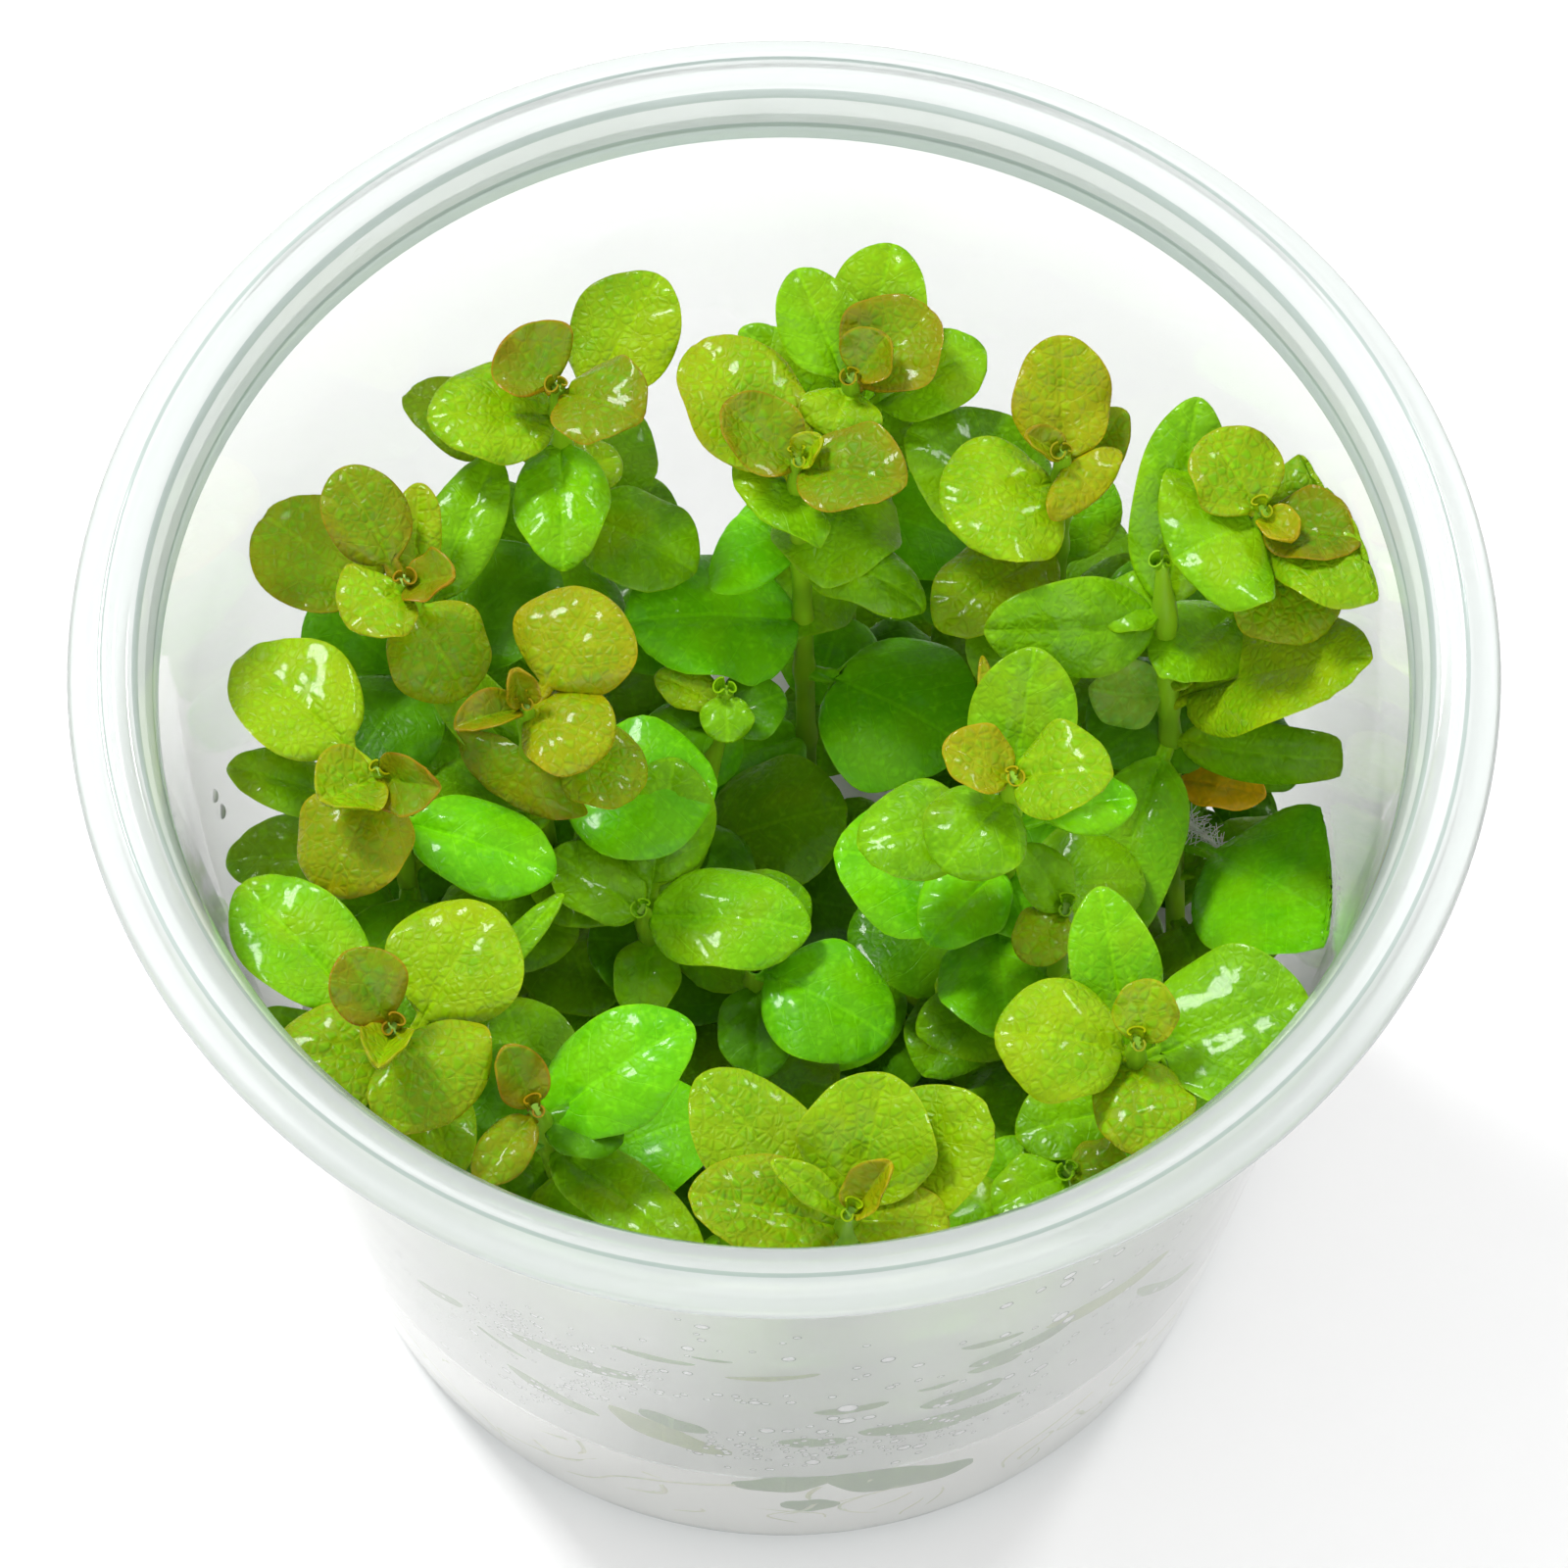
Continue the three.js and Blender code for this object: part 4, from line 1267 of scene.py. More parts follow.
        Leaf("b", 0.6, -49, 15, 3.5, 3, 0, 0.6, 0, 0.1, Tone.AMBER),
        Leaf("c", 2, -153, 3, 7.25, 13.25, 0.12, -0.02, 0, 0.14, Tone.GREEN, own=True),
        Leaf("d", 2.5, -16, 15, 8, 6, 0.05, 0.3, 0, 0.1, Tone.MOSS),
        Leaf("e", 3.5, -23, 13, 12.5, 10, 0.1, 0, 0, 0.16, Tone.FRESH),
        Leaf("f", 6, 41, 22, 9.5, 6.5, 0.06, 0, 0, 0.1, Tone.FRESH),
        Leaf("g", 5.5, -61, -3, 8.5, 8.5, 0.1, -0.1, 0, 0.1, Tone.OLIVE),
    )),
    Shoot("12", (5, 27), (4.9, 26.3, 78), (
        Leaf("a", 0.8, 43, 34, 4.5, 4.5, -0.05, 0.6, 0, 0.22, Tone.MOSS),
        Leaf("b", 2, 43, 15, 8.5, 8, 0, 0.3, 0, 0.16, Tone.MOSS, own=True),
        Leaf("c", 2, -110, 0, 4.25, 6.25, 0.12, -0.05, 0, 0.1, Tone.FRESH),
        Leaf("d", 4, 115, 28, 10.75, 6.5, 0.08, 0, 0, 0.32, Tone.GREEN),
        Leaf("e", 6, 74, 28, 13.25, 7.75, 0.05, 0.05, 0, 0.42, Tone.GREEN),
        Leaf("f", 7, 24, 17, 11.5, 7.5, 0.08, 0, 0, 0.36, Tone.GREEN),
        Leaf("g", 9, 139, 20, 11.5, 5.5, 0.05, 0, 0, 0.1, Tone.GREEN),
        Leaf("h", 10, 14, 0, 5, 6.5, 0.08, 0, 0, 0.1, Tone.GREEN),
    )),
    Shoot("13", (2, 16), (1, 19.9, 77), (
        Leaf("a", 0.6, 35, 45, 3, 2.5, 0, 0.8, 0, 0.1, Tone.OLIVE),
        Leaf("b", 1, 146, 25, 7.25, 6, -0.04, 0.4, 0, 0.08, Tone.MOSS, own=True),
        Leaf("c", 1.2, -19, 18, 8.75, 7.5, 0.08, 0.2, 0, 0.08, Tone.MOSS, own=True),
        Leaf("d", 3, 125, 9, 13.25, 9, 0.08, 0.05, 0, 0.16, Tone.OLIVE, own=True),
        Leaf("e", 4, -134, 15, 4.25, 9.25, 0.1, 0, 0, 0.08, Tone.GREEN),
        Leaf("f", 13, 141, -5, 6.25, 13, 0.08, -0.05, 0, 0.08, Tone.BRIGHT, own=True),
        Leaf("g", 13, -28, 5, 10.5, 5.5, 0.2, -0.2, 0, 0.1, Tone.GREEN),
        Leaf("h", 22, -168, 21, 14.75, 11.5, 0.08, -0.05, 0, 0.08, Tone.BRIGHT),
        Leaf("i", 29, -32, 7, 15, 13.75, 0.1, -0.1, 0, 0.28, Tone.BRIGHT),
        Leaf("j", 39, -152, 10, 11.5, 10, 0.08, 0, 0, 0.1, Tone.BRIGHT),
        Leaf("k", 46, -128, 5, 10.5, 6.5, 0.05, 0, 0, 0.1, Tone.BRIGHT),
    )),
    Shoot("14", (-9, 3), (-4.3, 9.7, 60), (
        Leaf("a", 0.6, -87, -10, 3.75, 4, 0.12, -0.1, 0, 0.08, Tone.GREEN),
        Leaf("b", 2, 154, 5, 5.75, 3.5, 0.08, 0, 0, 0.1, Tone.FRESH),
        Leaf("c", 4, -164, 0, 6.25, 5, 0.08, 0, 0, 0.1, Tone.DEEP),
        Leaf("d", 4, 25, 5, 5.5, 5.5, 0.08, 0, 0, 0.1, Tone.DEEP),
    )),
    Shoot("15", (20, -10), (20.5, -10.1, 64), (
        Leaf("a", 0.8, 128, 30, 6, 4, 0.1, 0, 0, 0.1, Tone.GREEN),
        Leaf("b", 0.8, -130, 0, 5, 4.5, 0.12, -0.1, 0, 0.1, Tone.OLIVE),
        Leaf("c", 19, -169, 5, 10.5, 7, 0.1, -0.1, 0, 0.1, Tone.GREEN),
    )),
    Shoot("16", (-8, -5), (-10.5, -7.4, 58), (
        Leaf("a", 1.5, -10, 10, 12.75, 8.5, 0.08, -0.1, 0, 0.08, Tone.LIGHT),
        Leaf("b", 3, 79, 25, 12.5, 7.75, 0.08, -0.1, 0, 0.36, Tone.GREEN),
        Leaf("c", 2, 148, 15, 8.5, 6, 0.1, 0, 0, 0.1, Tone.GREEN),
        Leaf("d", 6, -95, -10, 6.5, 5, 0.1, 0, 0, 0.1, Tone.LIGHT),
        Leaf("e", 8, 175, 0, 5, 7.5, 0.08, 0, 0, 0.1, Tone.DEEP),
    )),
    Shoot("17", (-1, -8), (-2.3, -11.1, 56), (
        Leaf("a", 1, -29, -1, 11.5, 9.75, 0.12, -0.15, 0, 0.18, Tone.BRIGHT),
        Leaf("b", 4, -88, -10, 7.5, 6, 0.1, 0, 0, 0.1, Tone.DEEP),
    )),
    Shoot("18", (31.5, 1), (27.5, 12.4, 75), (
        Leaf("a", 5, 80, 36, 16, 7.25, 0.08, 0, 0, 0.08, Tone.GREEN),
        Leaf("b", 5, 169, 0, 5, 5, 0.08, 0, 0, 0.1, Tone.GREEN),
        Leaf("c", 6, -174, 5, 13.5, 7.5, 0.08, -0.1, -40, 0.1, Tone.GREEN),
        Leaf("d", 15, -14, 45, 20, 10.25, 0.06, 0, 0, 0.18, Tone.FRESH, own=True),
        Leaf("e", 14, -174, 20, 6.5, 5.5, 0.1, 0.1, -50, 0.18, Tone.PALE),
        Leaf("f", 19, -111, -15, 18.5, 8, 0.08, -0.1, 0, 0.16, Tone.LIGHT, own=True),
        Leaf("g", 19, -14, 14, 15, 4.75, 0.15, -0.3, 40, 0.12, Tone.GREEN),
        Leaf("h", 31, -46, 29, 20, 14.5, 0.08, 0, 0, 0.42, Tone.BRIGHT, own=True),
        Leaf("i", 12.5, -21, 35, 2.5, 2.25, 0.1, 0, 0, 0.42, Tone.FRESH),
    )),
    Shoot("19", (19, -28), (20.1, -31.4, 66), (
        Leaf("a", 0.8, -152, 0, 6, 5, 0.1, 0, 0, 0.08, Tone.GREEN),
        Leaf("b", 0.8, 2, 15, 4.5, 4.5, 0.1, 0, 0, 0.1, Tone.OLIVE),
        Leaf("c", 4, 147, 10, 4, 4.5, 0.1, 0, 0, 0.1, Tone.GREEN),
    )),
)


# The innermost radius of a turned profile, near the axis
AXIS = 0.05

# The underside of the rim, and its rings and inner slope, inwards and down from its outer top corner
LIP_STEPS = ((5.1, 4.6), (4.75, 3.5), (4.1, 2.3), (3.3, 1.5), (2.5, 1.2), (1.9, 1.5), (1.3, 1.9), (0.45, 2.0))
RING_STEPS = (
    (0.9, 0.95), (1.5, 0.75), (1.95, 0.25), (2.3, 0.02), (2.6, 0.0), (2.9, 0.1), (3.15, 0.35),
    (3.6, 0.5), (4.2, 0.55), (4.6, 0.8), (4.95, 1.5), (5.3, 2.6), (5.75, 3.5), (5.95, 4.4),
)


class CupPaint(IntEnum):
    """The finishes of the cup, in the order of its materials."""

    CLEAR = 0
    FOGGED = 1
    MISTED = 2
    # Painted shade lines on the rim's steps and round the foot
    EDGE = 3
    MILKY = 4


CUP_FINISHES = {
    CupPaint.CLEAR: CUP_SMOOTH,
    CupPaint.FOGGED: CUP_FOGGED,
    CupPaint.MISTED: CUP_MISTED,
    CupPaint.EDGE: CUP_PAINTED_SHADE,
    CupPaint.MILKY: CUP_RIM,
}


@dataclass
class CultureCup:
    """The thin clear cup: a tapered wall, a floor, and a stepped rim that is rolled outwards."""

    sides: int = 192
    fog_top: float = 83.5
    fog_end: float = -22.0
    mist_end: float = -8.0
    # Where the painted shade lines go: rings of radius on the rim above a height, and the outer foot below a
    # height
    painted_shade_rings: tuple[tuple[float, float], ...] = ((47.38, 47.72), (45.02, 45.42), (44.0, 44.3))
    edge_low: float = 83.0
    foot_top: float = 2.4
    lip_size: float = 0.45

    def outside(self) -> Profile:
        """Gives the profile from the middle of the base up to the rim's outer edge.

        Returns:
            Points of radius and height.
        """
        shape = SHAPE
        foot = arc(shape.base_radius - shape.corner, shape.corner, shape.corner, -90.0, 0.0, 10)
        flare = shape.wall_top_radius - shape.base_radius
        wall = [(shape.base_radius + flare * z / shape.wall_top, z)
                for z in np.linspace(12.0, shape.wall_top - 0.8, 8)]
        size = self.lip_size
        edge = arc(shape.rim_radius - size, shape.height - 1.5, size, -80.0, 80.0, 8)
        return [(AXIS, 0.0), (shape.base_radius * 0.5, 0.0), *foot, *wall, *self.from_rim(LIP_STEPS), *edge]

    def from_rim(self, steps: tuple[tuple[float, float], ...]) -> Profile:
        """Turns distances in and down from the rim's outer top corner into a profile."""
        return [(SHAPE.rim_radius - inwards, SHAPE.height - down) for inwards, down in steps]

    def inner_wall(self) -> Profile:
        """Gives the profile down the inside of the wall and over the floor.

        Returns:
            Points of radius and height.
        """
        shape = SHAPE
        wall = [(float(shape.inner(z)), float(z)) for z in np.linspace(shape.wall_top - 0.2, 5.5, 24)]
        size = shape.corner - shape.wall
        foot = arc(float(shape.inner(4.0)) - size, shape.floor + size, size, 0.0, -90.0, 8)
        return [*wall, *foot, (shape.base_radius * 0.5, shape.floor), (AXIS, shape.floor)]

    def build(self) -> bpy.types.Object:
        """Builds the cup.

        Returns:
            The cup.
        """
        finishes = [CUP_FINISHES[paint].material() for paint in CupPaint]
        profile = [*self.outside(), *self.from_rim(RING_STEPS), *self.inner_wall()]
        draft = Draft()
        draft.add_skin(turned(profile, self.sides), finishes[CupPaint.CLEAR])
        for finish in finishes:
            draft.paint(finish)
        piece = draft.finished("cup_clear")
        self.fog(piece)
        self.paint_shade_lines(piece)
        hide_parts("culture_cup")
        return piece

    def fog(self, piece: bpy.types.Object) -> None:
        """Gives the inner wall above the jelly its fog, thick at the front and thin at the sides.

        Args:
            piece: the cup.
        """
        for face in piece.data.polygons:
            middle = np.array(face.center) / MM
            inwards = face.normal.x * middle[0] + face.normal.y * middle[1] < -1.0
            if inwards and SHAPE.gel_top - 0.5 < middle[2] < self.fog_top and middle[1] < self.mist_end:
                face.material_index = CupPaint.FOGGED if middle[1] < self.fog_end else CupPaint.MISTED

    def paint_shade_lines(self, piece: bpy.types.Object) -> None:
        """Gives the rim its milky finish, and paints painted shade on its steps and round the foot: a darker
        grey, less clear plastic for the dark lines the clear plastic shows there.

        Args:
            piece: the cup.
        """
        for face in piece.data.polygons:
            middle = np.array(face.center) / MM
            radius = math.hypot(middle[0], middle[1])
            # Painted shade: rings on the rim's steps and the outer foot corner get the darker grey plastic
            on_rim = middle[2] > self.edge_low and any(low < radius < high for low, high in self.painted_shade_rings)
            if on_rim or (middle[2] < self.foot_top and radius > SHAPE.base_radius - SHAPE.corner):
                face.material_index = CupPaint.EDGE
            elif middle[2] > SHAPE.wall_top:
                face.material_index = CupPaint.MILKY


@dataclass
class NutrientGel:
    """The set jelly in the bottom of the cup, wet against the plastic, with a wavy top."""

    sides: int = 144
    sink: float = 0.5
    wetting: float = 0.04
    top_rings: int = 22
    swell: float = 0.15

    def build(self) -> bpy.types.Object:
        """Builds the jelly.

        Returns:
            The jelly.
        """
        shape = SHAPE
        low = shape.floor - self.wetting
        size = shape.corner - shape.wall
        radius = float(shape.inner(4.0)) + self.wetting
        foot = arc(radius - size, low + size, size, -90.0, 0.0, 8)
        wall = [(float(shape.inner(z)) + self.wetting, z) for z in np.linspace(6.0, shape.gel_top - 0.2, 8)]
        reach = float(shape.inner(shape.gel_top)) + self.wetting
        steps = np.linspace(0.99, 0.002, self.top_rings)
        top = [(reach * share, shape.gel_top - self.sink * (1.0 - share ** 8)) for share in steps]
        rings = turned([(AXIS, low), *foot, *wall, *top], self.sides)
        flat = rings[-self.top_rings:]
        flat[..., 2] += self.swell * np.sin(flat[..., 0] * 0.5 + 1.0) * np.sin(flat[..., 1] * 0.37)
        draft = Draft()
        draft.add_skin(rings, GEL_FINISH.material())
        piece = draft.finished("jelly")
        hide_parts("nutrient_gel")
        return piece


@dataclass
class RootMat:
    """The pale roots that run down through the jelly, most of them along the wall."""

    count: int = 90
    near_wall: float = -0.07
    thin: float = 0.16
    thick: float = 0.36
    lowest_start: float = 12.0
    low_end: tuple[float, float] = (3.5, 9.0)
    drift: float = 0.45
    wander: float = 0.05
    depth: float = 0.9
    taper: float = 0.6
    steps: int = 16
    sides: int = 6
    seed: int = 41

    def build(self) -> bpy.types.Object:
        """Builds the roots as one piece.

        Returns:
            The roots.
        """
        chance = np.random.default_rng(self.seed)
        finish = RootFinish().material()
        draft = Draft()
        for index in range(self.count):
            angle = chance.uniform(0.0, 2.0 * math.pi)
            top = chance.uniform(self.lowest_start, SHAPE.gel_top - 1.0)
            low = chance.uniform(*self.low_end)
            drift = chance.uniform(-self.drift, self.drift)
            share = np.linspace(0.0, 1.0, self.steps)
            z = top + (low - top) * share
            bends = np.sin(share * chance.uniform(4, 9) + chance.uniform(0, 6))
            turn = angle + drift * share + self.wander * bends
            inwards = chance.uniform(0.0, self.depth) * np.abs(np.sin(share * 3.0 + index)) ** 2
            depth = self.near_wall + inwards
            radius = SHAPE.inner(z) - depth
            path = np.stack([radius * np.cos(turn), radius * np.sin(turn), z], axis=-1)
            size = chance.uniform(self.thin, self.thick)
            draft.add_skin(tube(path, size * (1.0 - self.taper * share), self.sides), finish)
        piece = draft.finished("roots_in_jelly")
        return piece


@dataclass
class AirRoot:
    """The white feathery root that hangs from one stem above the jelly."""

    shoot: str = "18"
    height: float = 47.0
    reach: tuple[float, float, float] = (5.5, -3.5, -4.0)
    lift: float = 1.2
    radius: float = 0.24
    hairs: int = 220
    hair_radius: float = 0.035
    hair_length: tuple[float, float] = (0.7, 2.0)
    taper: float = 0.6
    seed: int = 7

    def build(self) -> bpy.types.Object:
        """Builds the root and its fine hairs.

        Returns:
            The root.
        """
        chance = np.random.default_rng(self.seed)
        finish = RootFinish("root white", (0.86, 0.86, 0.78), (0.7, 0.72, 0.55)).material()
        shoot = next(s for s in SHOOTS if s.name == self.shoot)
        start = shoot.stem_point(self.height)
        share = np.linspace(0.0, 1.0, 18)[:, None]
        path = start + np.array(self.reach) * share + UP * self.lift * np.sin(share * 3.0)
        draft = Draft()
        draft.add_skin(tube(path, self.radius * (1.0 - self.taper * share[:, 0]), 8), finish)
        for _ in range(self.hairs):
            place = chance.uniform(0.05, 0.95)
            base = start + np.array(self.reach) * place + UP * self.lift * math.sin(place * 3.0)
            way = chance.normal(size=3)
            way /= np.linalg.norm(way)
            length = chance.uniform(*self.hair_length)
            step = np.linspace(0.0, 1.0, 5)[:, None]
            curl = chance.normal(size=3) * 0.3
            hair = base + way * length * step + curl * step ** 2
            draft.add_skin(tube(hair, np.full(len(hair), self.hair_radius), 4), finish)
        piece = draft.finished("air_root")
        return piece


@dataclass(frozen=True)
class Contact:
    """A leaf's narrow patch pressed on the inside of the wall, in millimetres and degrees."""

    angle: float
    height: float
    length: float
    width: float
    tilt: float
    tone: Tone = Tone.PRESSED


CONTACTS = (
    Contact(-128, 44, 5.8, 1.6, 36), Contact(-112, 46, 10.7, 3.0, 6), Contact(-121, 41, 4.5, 1.0, -24),
    Contact(-103, 54, 6.2, 1.3, -4), Contact(-97, 56, 3.0, 0.6, -4), Contact(-116, 33, 8.1, 2.4, -23),
    Contact(-103, 32, 11.9, 4.2, -41, Tone.PRESSED_LIGHT), Contact(-102, 36, 6.0, 3.0, -33),
    Contact(-91, 52, 7.0, 1.2, 12, Tone.PRESSED_LIGHT),
    Contact(-83, 42, 5.6, 1.8, 7), Contact(-87, 33, 5.2, 2.6, -6), Contact(-84, 28, 1.8, 1.0, -4),
    Contact(-71, 39, 6.5, 3.4, 5), Contact(-74, 44, 3.2, 1.0, 1), Contact(-65, 47, 8.5, 3.0, 4),
    Contact(-55, 48, 11.5, 3.4, -10, Tone.PRESSED_LIGHT), Contact(-69, 52, 5.3, 1.2, -21),
    Contact(-73, 33, 13.2, 4.0, -11),
    Contact(-45, 36, 16.0, 1.5, -56), Contact(-87, 13, 4.8, 3.6, -13), Contact(-77, 18, 13.4, 6.0, -28),
    Contact(-90, 20, 8.2, 4.5, 17), Contact(-68, 45, 4.4, 1.6, -9),
)


@dataclass
class WallContacts:
    """The leaf patches that show sharply through the fogged wall, because they touch it."""

    clearance: float = -0.08
    gel_clearance: float = -0.1
    thickness: float = 0.22
    unevenness: float = 0.12
    bow: float = 0.06
    rim_lift: float = 0.1
    steps: int = 22
    columns: int = 9
    seed: int = 5

    def add(self, draft: Draft, contact: Contact, chance: np.random.Generator) -> None:
        """Adds one patch to the mesh.

        Args:
            draft: the mesh.
            contact: the patch's place and size.
            chance: a fixed run of chance numbers.
        """
        share = np.linspace(-0.998, 0.998, self.steps)
        uneven = 1.0 + self.unevenness * np.sin(share * 5.0 + chance.uniform(0, 6))
        half = contact.width / 2.0 * np.sqrt(1.0 - share ** 2) * uneven
        across = np.cos(np.linspace(0.0, math.pi, self.columns))
        along = contact.length / 2.0 * share
        bow = self.bow * contact.length * share ** 2
        t = math.radians(contact.tilt)
        rise = half[:, None] * across + bow[:, None]
        x = along[:, None] * math.cos(t) - rise * math.sin(t)
        z = contact.height + along[:, None] * math.sin(t) + rise * math.cos(t)
        in_gel = z < SHAPE.gel_top
        middle = SHAPE.inner(z) - np.where(in_gel, self.gel_clearance, self.clearance)
        angle = math.radians(contact.angle) + x / SHAPE.inner(contact.height)
        thick = self.thickness * np.sqrt(np.clip(1.0 - np.abs(across) ** 4, 0.0, 1.0))[None, :]
        skins = []
        for way in (0.0, -1.0):
            radius = middle + way * thick
            skins.append(np.stack([radius * np.cos(angle), radius * np.sin(angle), z], axis=-1))
        rings = np.concatenate([skins[0], skins[1][:, -2:0:-1]], axis=1)
        flat = np.stack([x, z], axis=-1)
        flat = np.concatenate([flat, flat[:, -2:0:-1]], axis=1)
        rim = half[:, None] * (1.0 - np.abs(across))
        rim = np.concatenate([rim, rim[:, -2:0:-1]], axis=1) + self.rim_lift
        draft.add_skin(rings, LEAF_MATERIALS[contact.tone], flat, rim, chance.uniform(0.0, 1.0))

    def build(self) -> bpy.types.Object:
        """Builds the patches as one piece.

        Returns:
            The patches.
        """
        chance = np.random.default_rng(self.seed)
        draft = Draft()
        for contact in CONTACTS:
            self.add(draft, contact, chance)
        piece = draft.finished("leaf_contacts")
        return piece


@dataclass(frozen=True)
class DropGroup:
    """A patch of water drops on the wall: its middle, its spread, and how large its drops are.

    Angle and spread are in degrees, and lean is how far it rises to a degree.
    """

    angle: float
    height: float
    spread: float
    rise: float
    count: int
    small: float
    large: float
    lean: float = 0.0


DROPS = (
    DropGroup(-119, 49, 2.5, 3.0, 45, 0.2, 0.42), DropGroup(-110.5, 40, 6.0, 2.2, 110, 0.18, 0.4, 1.2),
    DropGroup(-113, 50, 4.5, 2.5, 50, 0.18, 0.4), DropGroup(-96, 45.5, 6.0, 0.9, 26, 0.25, 0.5),
    DropGroup(-93, 31, 3.5, 3.0, 70, 0.22, 0.36), DropGroup(-87, 38, 2.5, 3.5, 9, 0.45, 0.85),
    DropGroup(-84, 32, 3.0, 2.5, 30, 0.2, 0.4), DropGroup(-72, 42, 6.0, 8.0, 40, 0.25, 0.6),
    DropGroup(-63, 58, 5.0, 6.0, 18, 0.3, 0.9), DropGroup(-73, 30, 8.0, 3.0, 60, 0.18, 0.36),
    DropGroup(-88, 60, 10.0, 6.0, 14, 0.2, 0.6), DropGroup(-50, 40, 6.0, 10.0, 50, 0.2, 0.5),
    DropGroup(-126, 38, 5.0, 8.0, 40, 0.18, 0.4), DropGroup(37, 38, 1.5, 2.0, 5, 0.5, 0.9),
    DropGroup(179, 57, 1.5, 3.0, 4, 0.5, 0.9), DropGroup(106, 45, 3.0, 6.0, 5, 0.4, 0.8),
    DropGroup(20, 50, 8.0, 12.0, 8, 0.3, 0.8),
)


@dataclass
class WallDrops:
    """The drops of condensed water on the inside of the wall: each a mostly white bead, a painted highlight,
    with a thin dark ring of painted shade round it.
    """

    flatness: float = 0.5
    deepest: float = 0.4
    sides: int = 14
    rings: int = 10
    # Which ring of a drop the painted shade ring follows, and how deep into the plastic it reaches
    shade_ring_row: int = 3
    shade_ring_sink: float = 0.06
    above_gel: float = 1.5
    highest: float = 80.0
    seed: int = 11

    def bead(self, size: float, stretch: float) -> np.ndarray:
        """Makes one drop's rings, with its middle on the wall's inner face.

        Args:
            size: the drop's radius.
            stretch: how much longer than wide it is.

        Returns:
            Points across, up and inwards from the wall.
        """
        ring, rings = circle(self.sides), []
        for lift in np.linspace(-math.pi / 2.0, math.pi / 2.0, self.rings):
            radius = size * max(0.02, math.cos(lift)) ** 0.8
            depth = max(size * self.flatness * math.sin(lift), -self.deepest)
            tall = radius * stretch * np.sin(ring)
            rings.append(np.stack([radius * np.cos(ring), tall, np.full(self.sides, depth)], axis=-1))
        return np.array(rings)

    def painted_shade_ring(self, turn: np.ndarray, height: np.ndarray, away: np.ndarray, size: float) -> np.ndarray:
        """Makes the painted shade round a drop: a thin dark band inside the plastic, for the dark edge that a
        drop's steep side shows through the wall.

        Args:
            turn: the angles of the drop's points.
            height: their heights.
            away: their distances from the axis.
            size: the drop's radius.

        Returns:
            The rings of a thin band round the drop, inside the plastic.
        """
        row, sunk = self.shade_ring_row, self.shade_ring_sink
        middle_turn, middle_height = turn[row].mean(), height[row].mean()
        inner, outer = 0.98, 1.0 + min(0.1, 0.16 * size + 0.03) / size
        rings = []
        for grow, sink in ((inner, 0.0), (outer, 0.0), (outer, sunk), (inner, sunk)):
            wide = middle_turn + (turn[row] - middle_turn) * grow
            tall = middle_height + (height[row] - middle_height) * grow
            radius = away[row].mean() + sink
            rings.append(np.stack([radius * np.cos(wide), radius * np.sin(wide), tall], axis=-1))
        return np.swapaxes(np.array(rings), 0, 1)[[*range(self.sides), 0]]

    def build(self) -> bpy.types.Object:
        """Builds the drops as one piece.

        Returns:
            The drops.
        """
        chance = np.random.default_rng(self.seed)
        # Painted highlight for the beads, and painted shade for the rings round them
        finish, edge = DROP_PAINTED_HIGHLIGHT.material(), DROP_PAINTED_SHADE_RING.material()
        draft = Draft()
        taken: list[tuple[float, float, float]] = []
        for group in DROPS:
            for _ in range(group.count):
                across = chance.normal() * group.spread
                angle = math.radians(group.angle + across)
                z = group.height + chance.normal() * group.rise + group.lean * across
                z = min(max(z, SHAPE.gel_top + self.above_gel), self.highest)
                size = group.small + (group.large - group.small) * chance.uniform() ** 2.5
                radius = float(SHAPE.inner(z))
                x = angle * radius
                if any((x - p[0]) ** 2 + (z - p[1]) ** 2 < (size + p[2]) ** 2 for p in taken):
                    continue
                taken.append((x, z, size))
                bead = self.bead(size, chance.uniform(0.9, 1.3))
                turn = angle + bead[..., 0] / radius
                height = z + bead[..., 1]
                away = SHAPE.inner(height) - bead[..., 2]
                rings = np.stack([away * np.cos(turn), away * np.sin(turn), height], axis=-1)
                draft.add_skin(rings, finish)
                draft.add_skin(self.painted_shade_ring(turn, height, away, size), edge)
        piece = draft.finished("wall_drops")
        return piece


@dataclass(frozen=True)
class Lamp:
    """A square soft light that faces the plant: its place and side in metres, its power in watts."""

    name: str
    place: tuple[float, float, float]
    side: float
    power: float
    aim_height: float = 0.06

    def hang(self) -> None:
        """Hangs the light."""
        data = bpy.data.lights.new(self.name, "AREA")
        data.shape = "SQUARE"
        data.size = self.side
        data.energy = self.power
        holder = bpy.data.objects.new(self.name, data)
        holder.location = self.place
        aim = Vector((0.0, 0.0, self.aim_height)) - Vector(self.place)
        holder.rotation_euler = aim.to_track_quat("-Z", "Y").to_euler()
        bpy.context.scene.collection.objects.link(holder)


LAMPS = (
    Lamp("key", (-0.45, 0.45, 0.95), 0.22, 9.0),
    Lamp("back_right", (0.5, 0.55, 0.8), 0.15, 2.5),
    Lamp("front_fill", (0.2, -0.9, 0.9), 0.8, 3.0),
    Lamp("front_low", (-0.1, -0.8, 0.25), 0.8, 3.2),
)


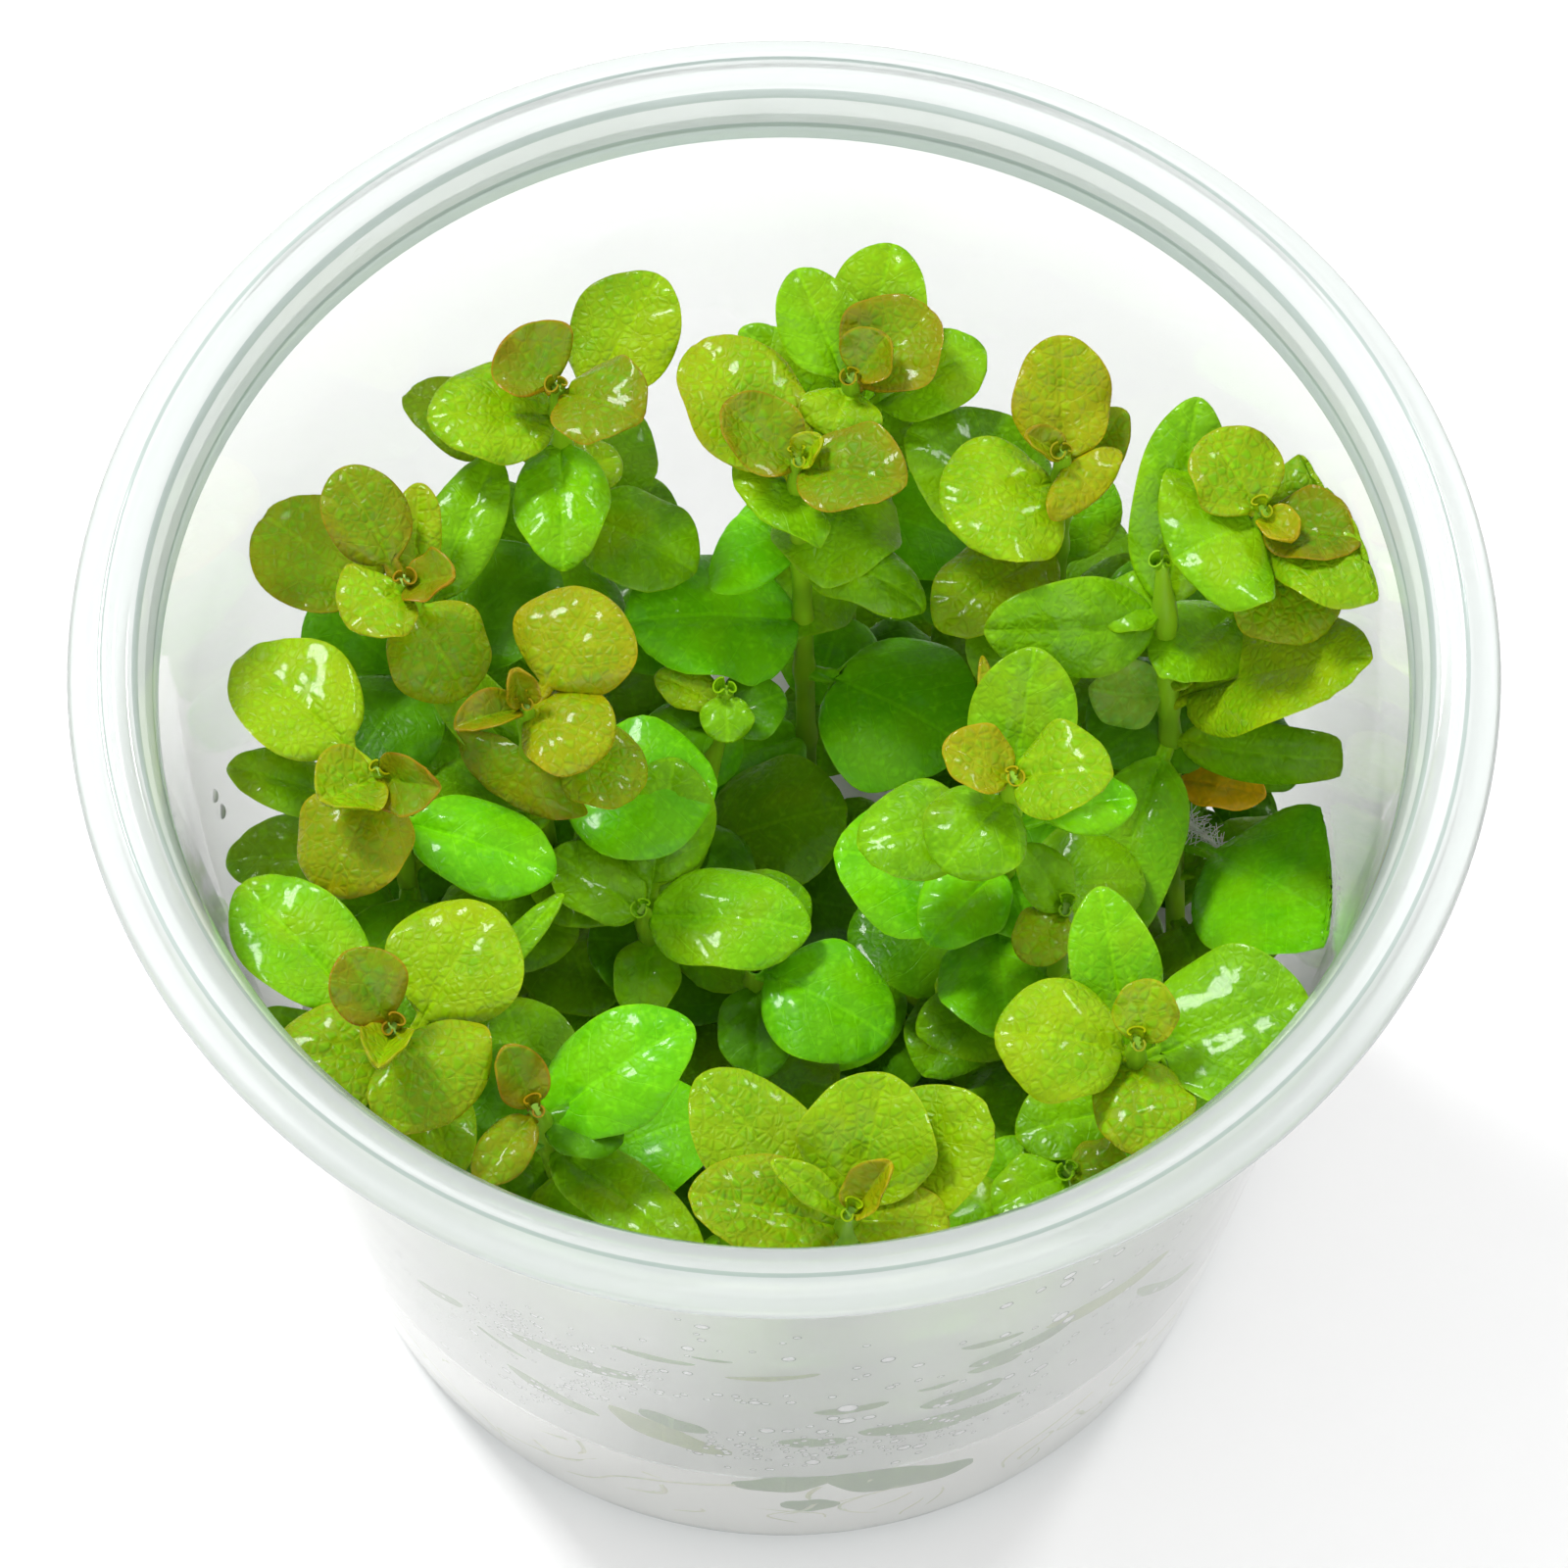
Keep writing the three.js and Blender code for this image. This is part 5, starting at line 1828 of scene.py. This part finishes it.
@dataclass
class Studio:
    """The pale floor, the soft lights and the camera of the picture, in metres and degrees."""

    camera_place: tuple[float, float, float] = (0.0, -0.172807, 0.420810)
    camera_tilt: float = 25.836
    lens: float = 123.75
    sensor: float = 36.0
    clip_start: float = 0.01
    floor_size: float = 6.0
    floor_drop: float = 0.0002
    world_strength: float = 0.65
    bounces: int = 6
    soft_bounces: int = 2

    def floor(self) -> None:
        """Lays the floor."""
        half = self.floor_size / 2.0
        mesh = bpy.data.meshes.new("floor")
        corners = [(-half, -half, 0.0), (half, -half, 0.0), (half, half, 0.0), (-half, half, 0.0)]
        mesh.from_pydata(corners, [], [(0, 1, 2, 3)])
        mesh.materials.append(FloorFinish().material())
        plane = bpy.data.objects.new("floor", mesh)
        plane.location = (0.0, 0.0, -self.floor_drop)
        bpy.context.scene.collection.objects.link(plane)

    def surroundings(self) -> None:
        """Fills the room with even white light."""
        world = bpy.data.worlds.new("studio")
        world.use_nodes = True
        back = world.node_tree.nodes["Background"]
        back.inputs["Color"].default_value = rgba((1.0, 1.0, 1.0))
        back.inputs["Strength"].default_value = self.world_strength
        bpy.context.scene.world = world

    def camera(self) -> None:
        """Places the camera as the picture was taken."""
        data = bpy.data.cameras.new("camera")
        data.sensor_width = self.sensor
        data.lens = self.lens
        data.clip_start = self.clip_start
        holder = bpy.data.objects.new("camera", data)
        holder.location = self.camera_place
        holder.rotation_euler = (math.radians(self.camera_tilt), 0.0, 0.0)
        bpy.context.scene.collection.objects.link(holder)
        bpy.context.scene.camera = holder

    def build(self) -> None:
        """Sets up the floor, the lights and the camera."""
        self.floor()
        self.surroundings()
        for lamp in LAMPS:
            lamp.hang()
        self.camera()
        self.light_paths()
        bpy.context.scene.view_settings.view_transform = "Standard"

    def light_paths(self) -> None:
        """Limits how often light bounces."""
        cycles = bpy.context.scene.cycles
        cycles.max_bounces = self.bounces
        cycles.transmission_bounces = self.bounces
        cycles.diffuse_bounces = self.soft_bounces
        cycles.glossy_bounces = self.soft_bounces


def main() -> None:
    """Builds the cup, what is in it, and the studio."""
    logging.basicConfig(level=logging.INFO)
    Studio().build()
    CultureCup().build()
    NutrientGel().build()
    RootMat().build()
    shaper = LeafShaper()
    plain = LeafShaper(stations=20, columns=11)
    for shoot in SHOOTS:
        pieces = shoot.build(shaper, plain)
        LOG.info("shoot %s has %d pieces", shoot.name, len(pieces))
    AirRoot().build()
    WallContacts().build()
    WallDrops().build()


if __name__ == "__main__":
    main()
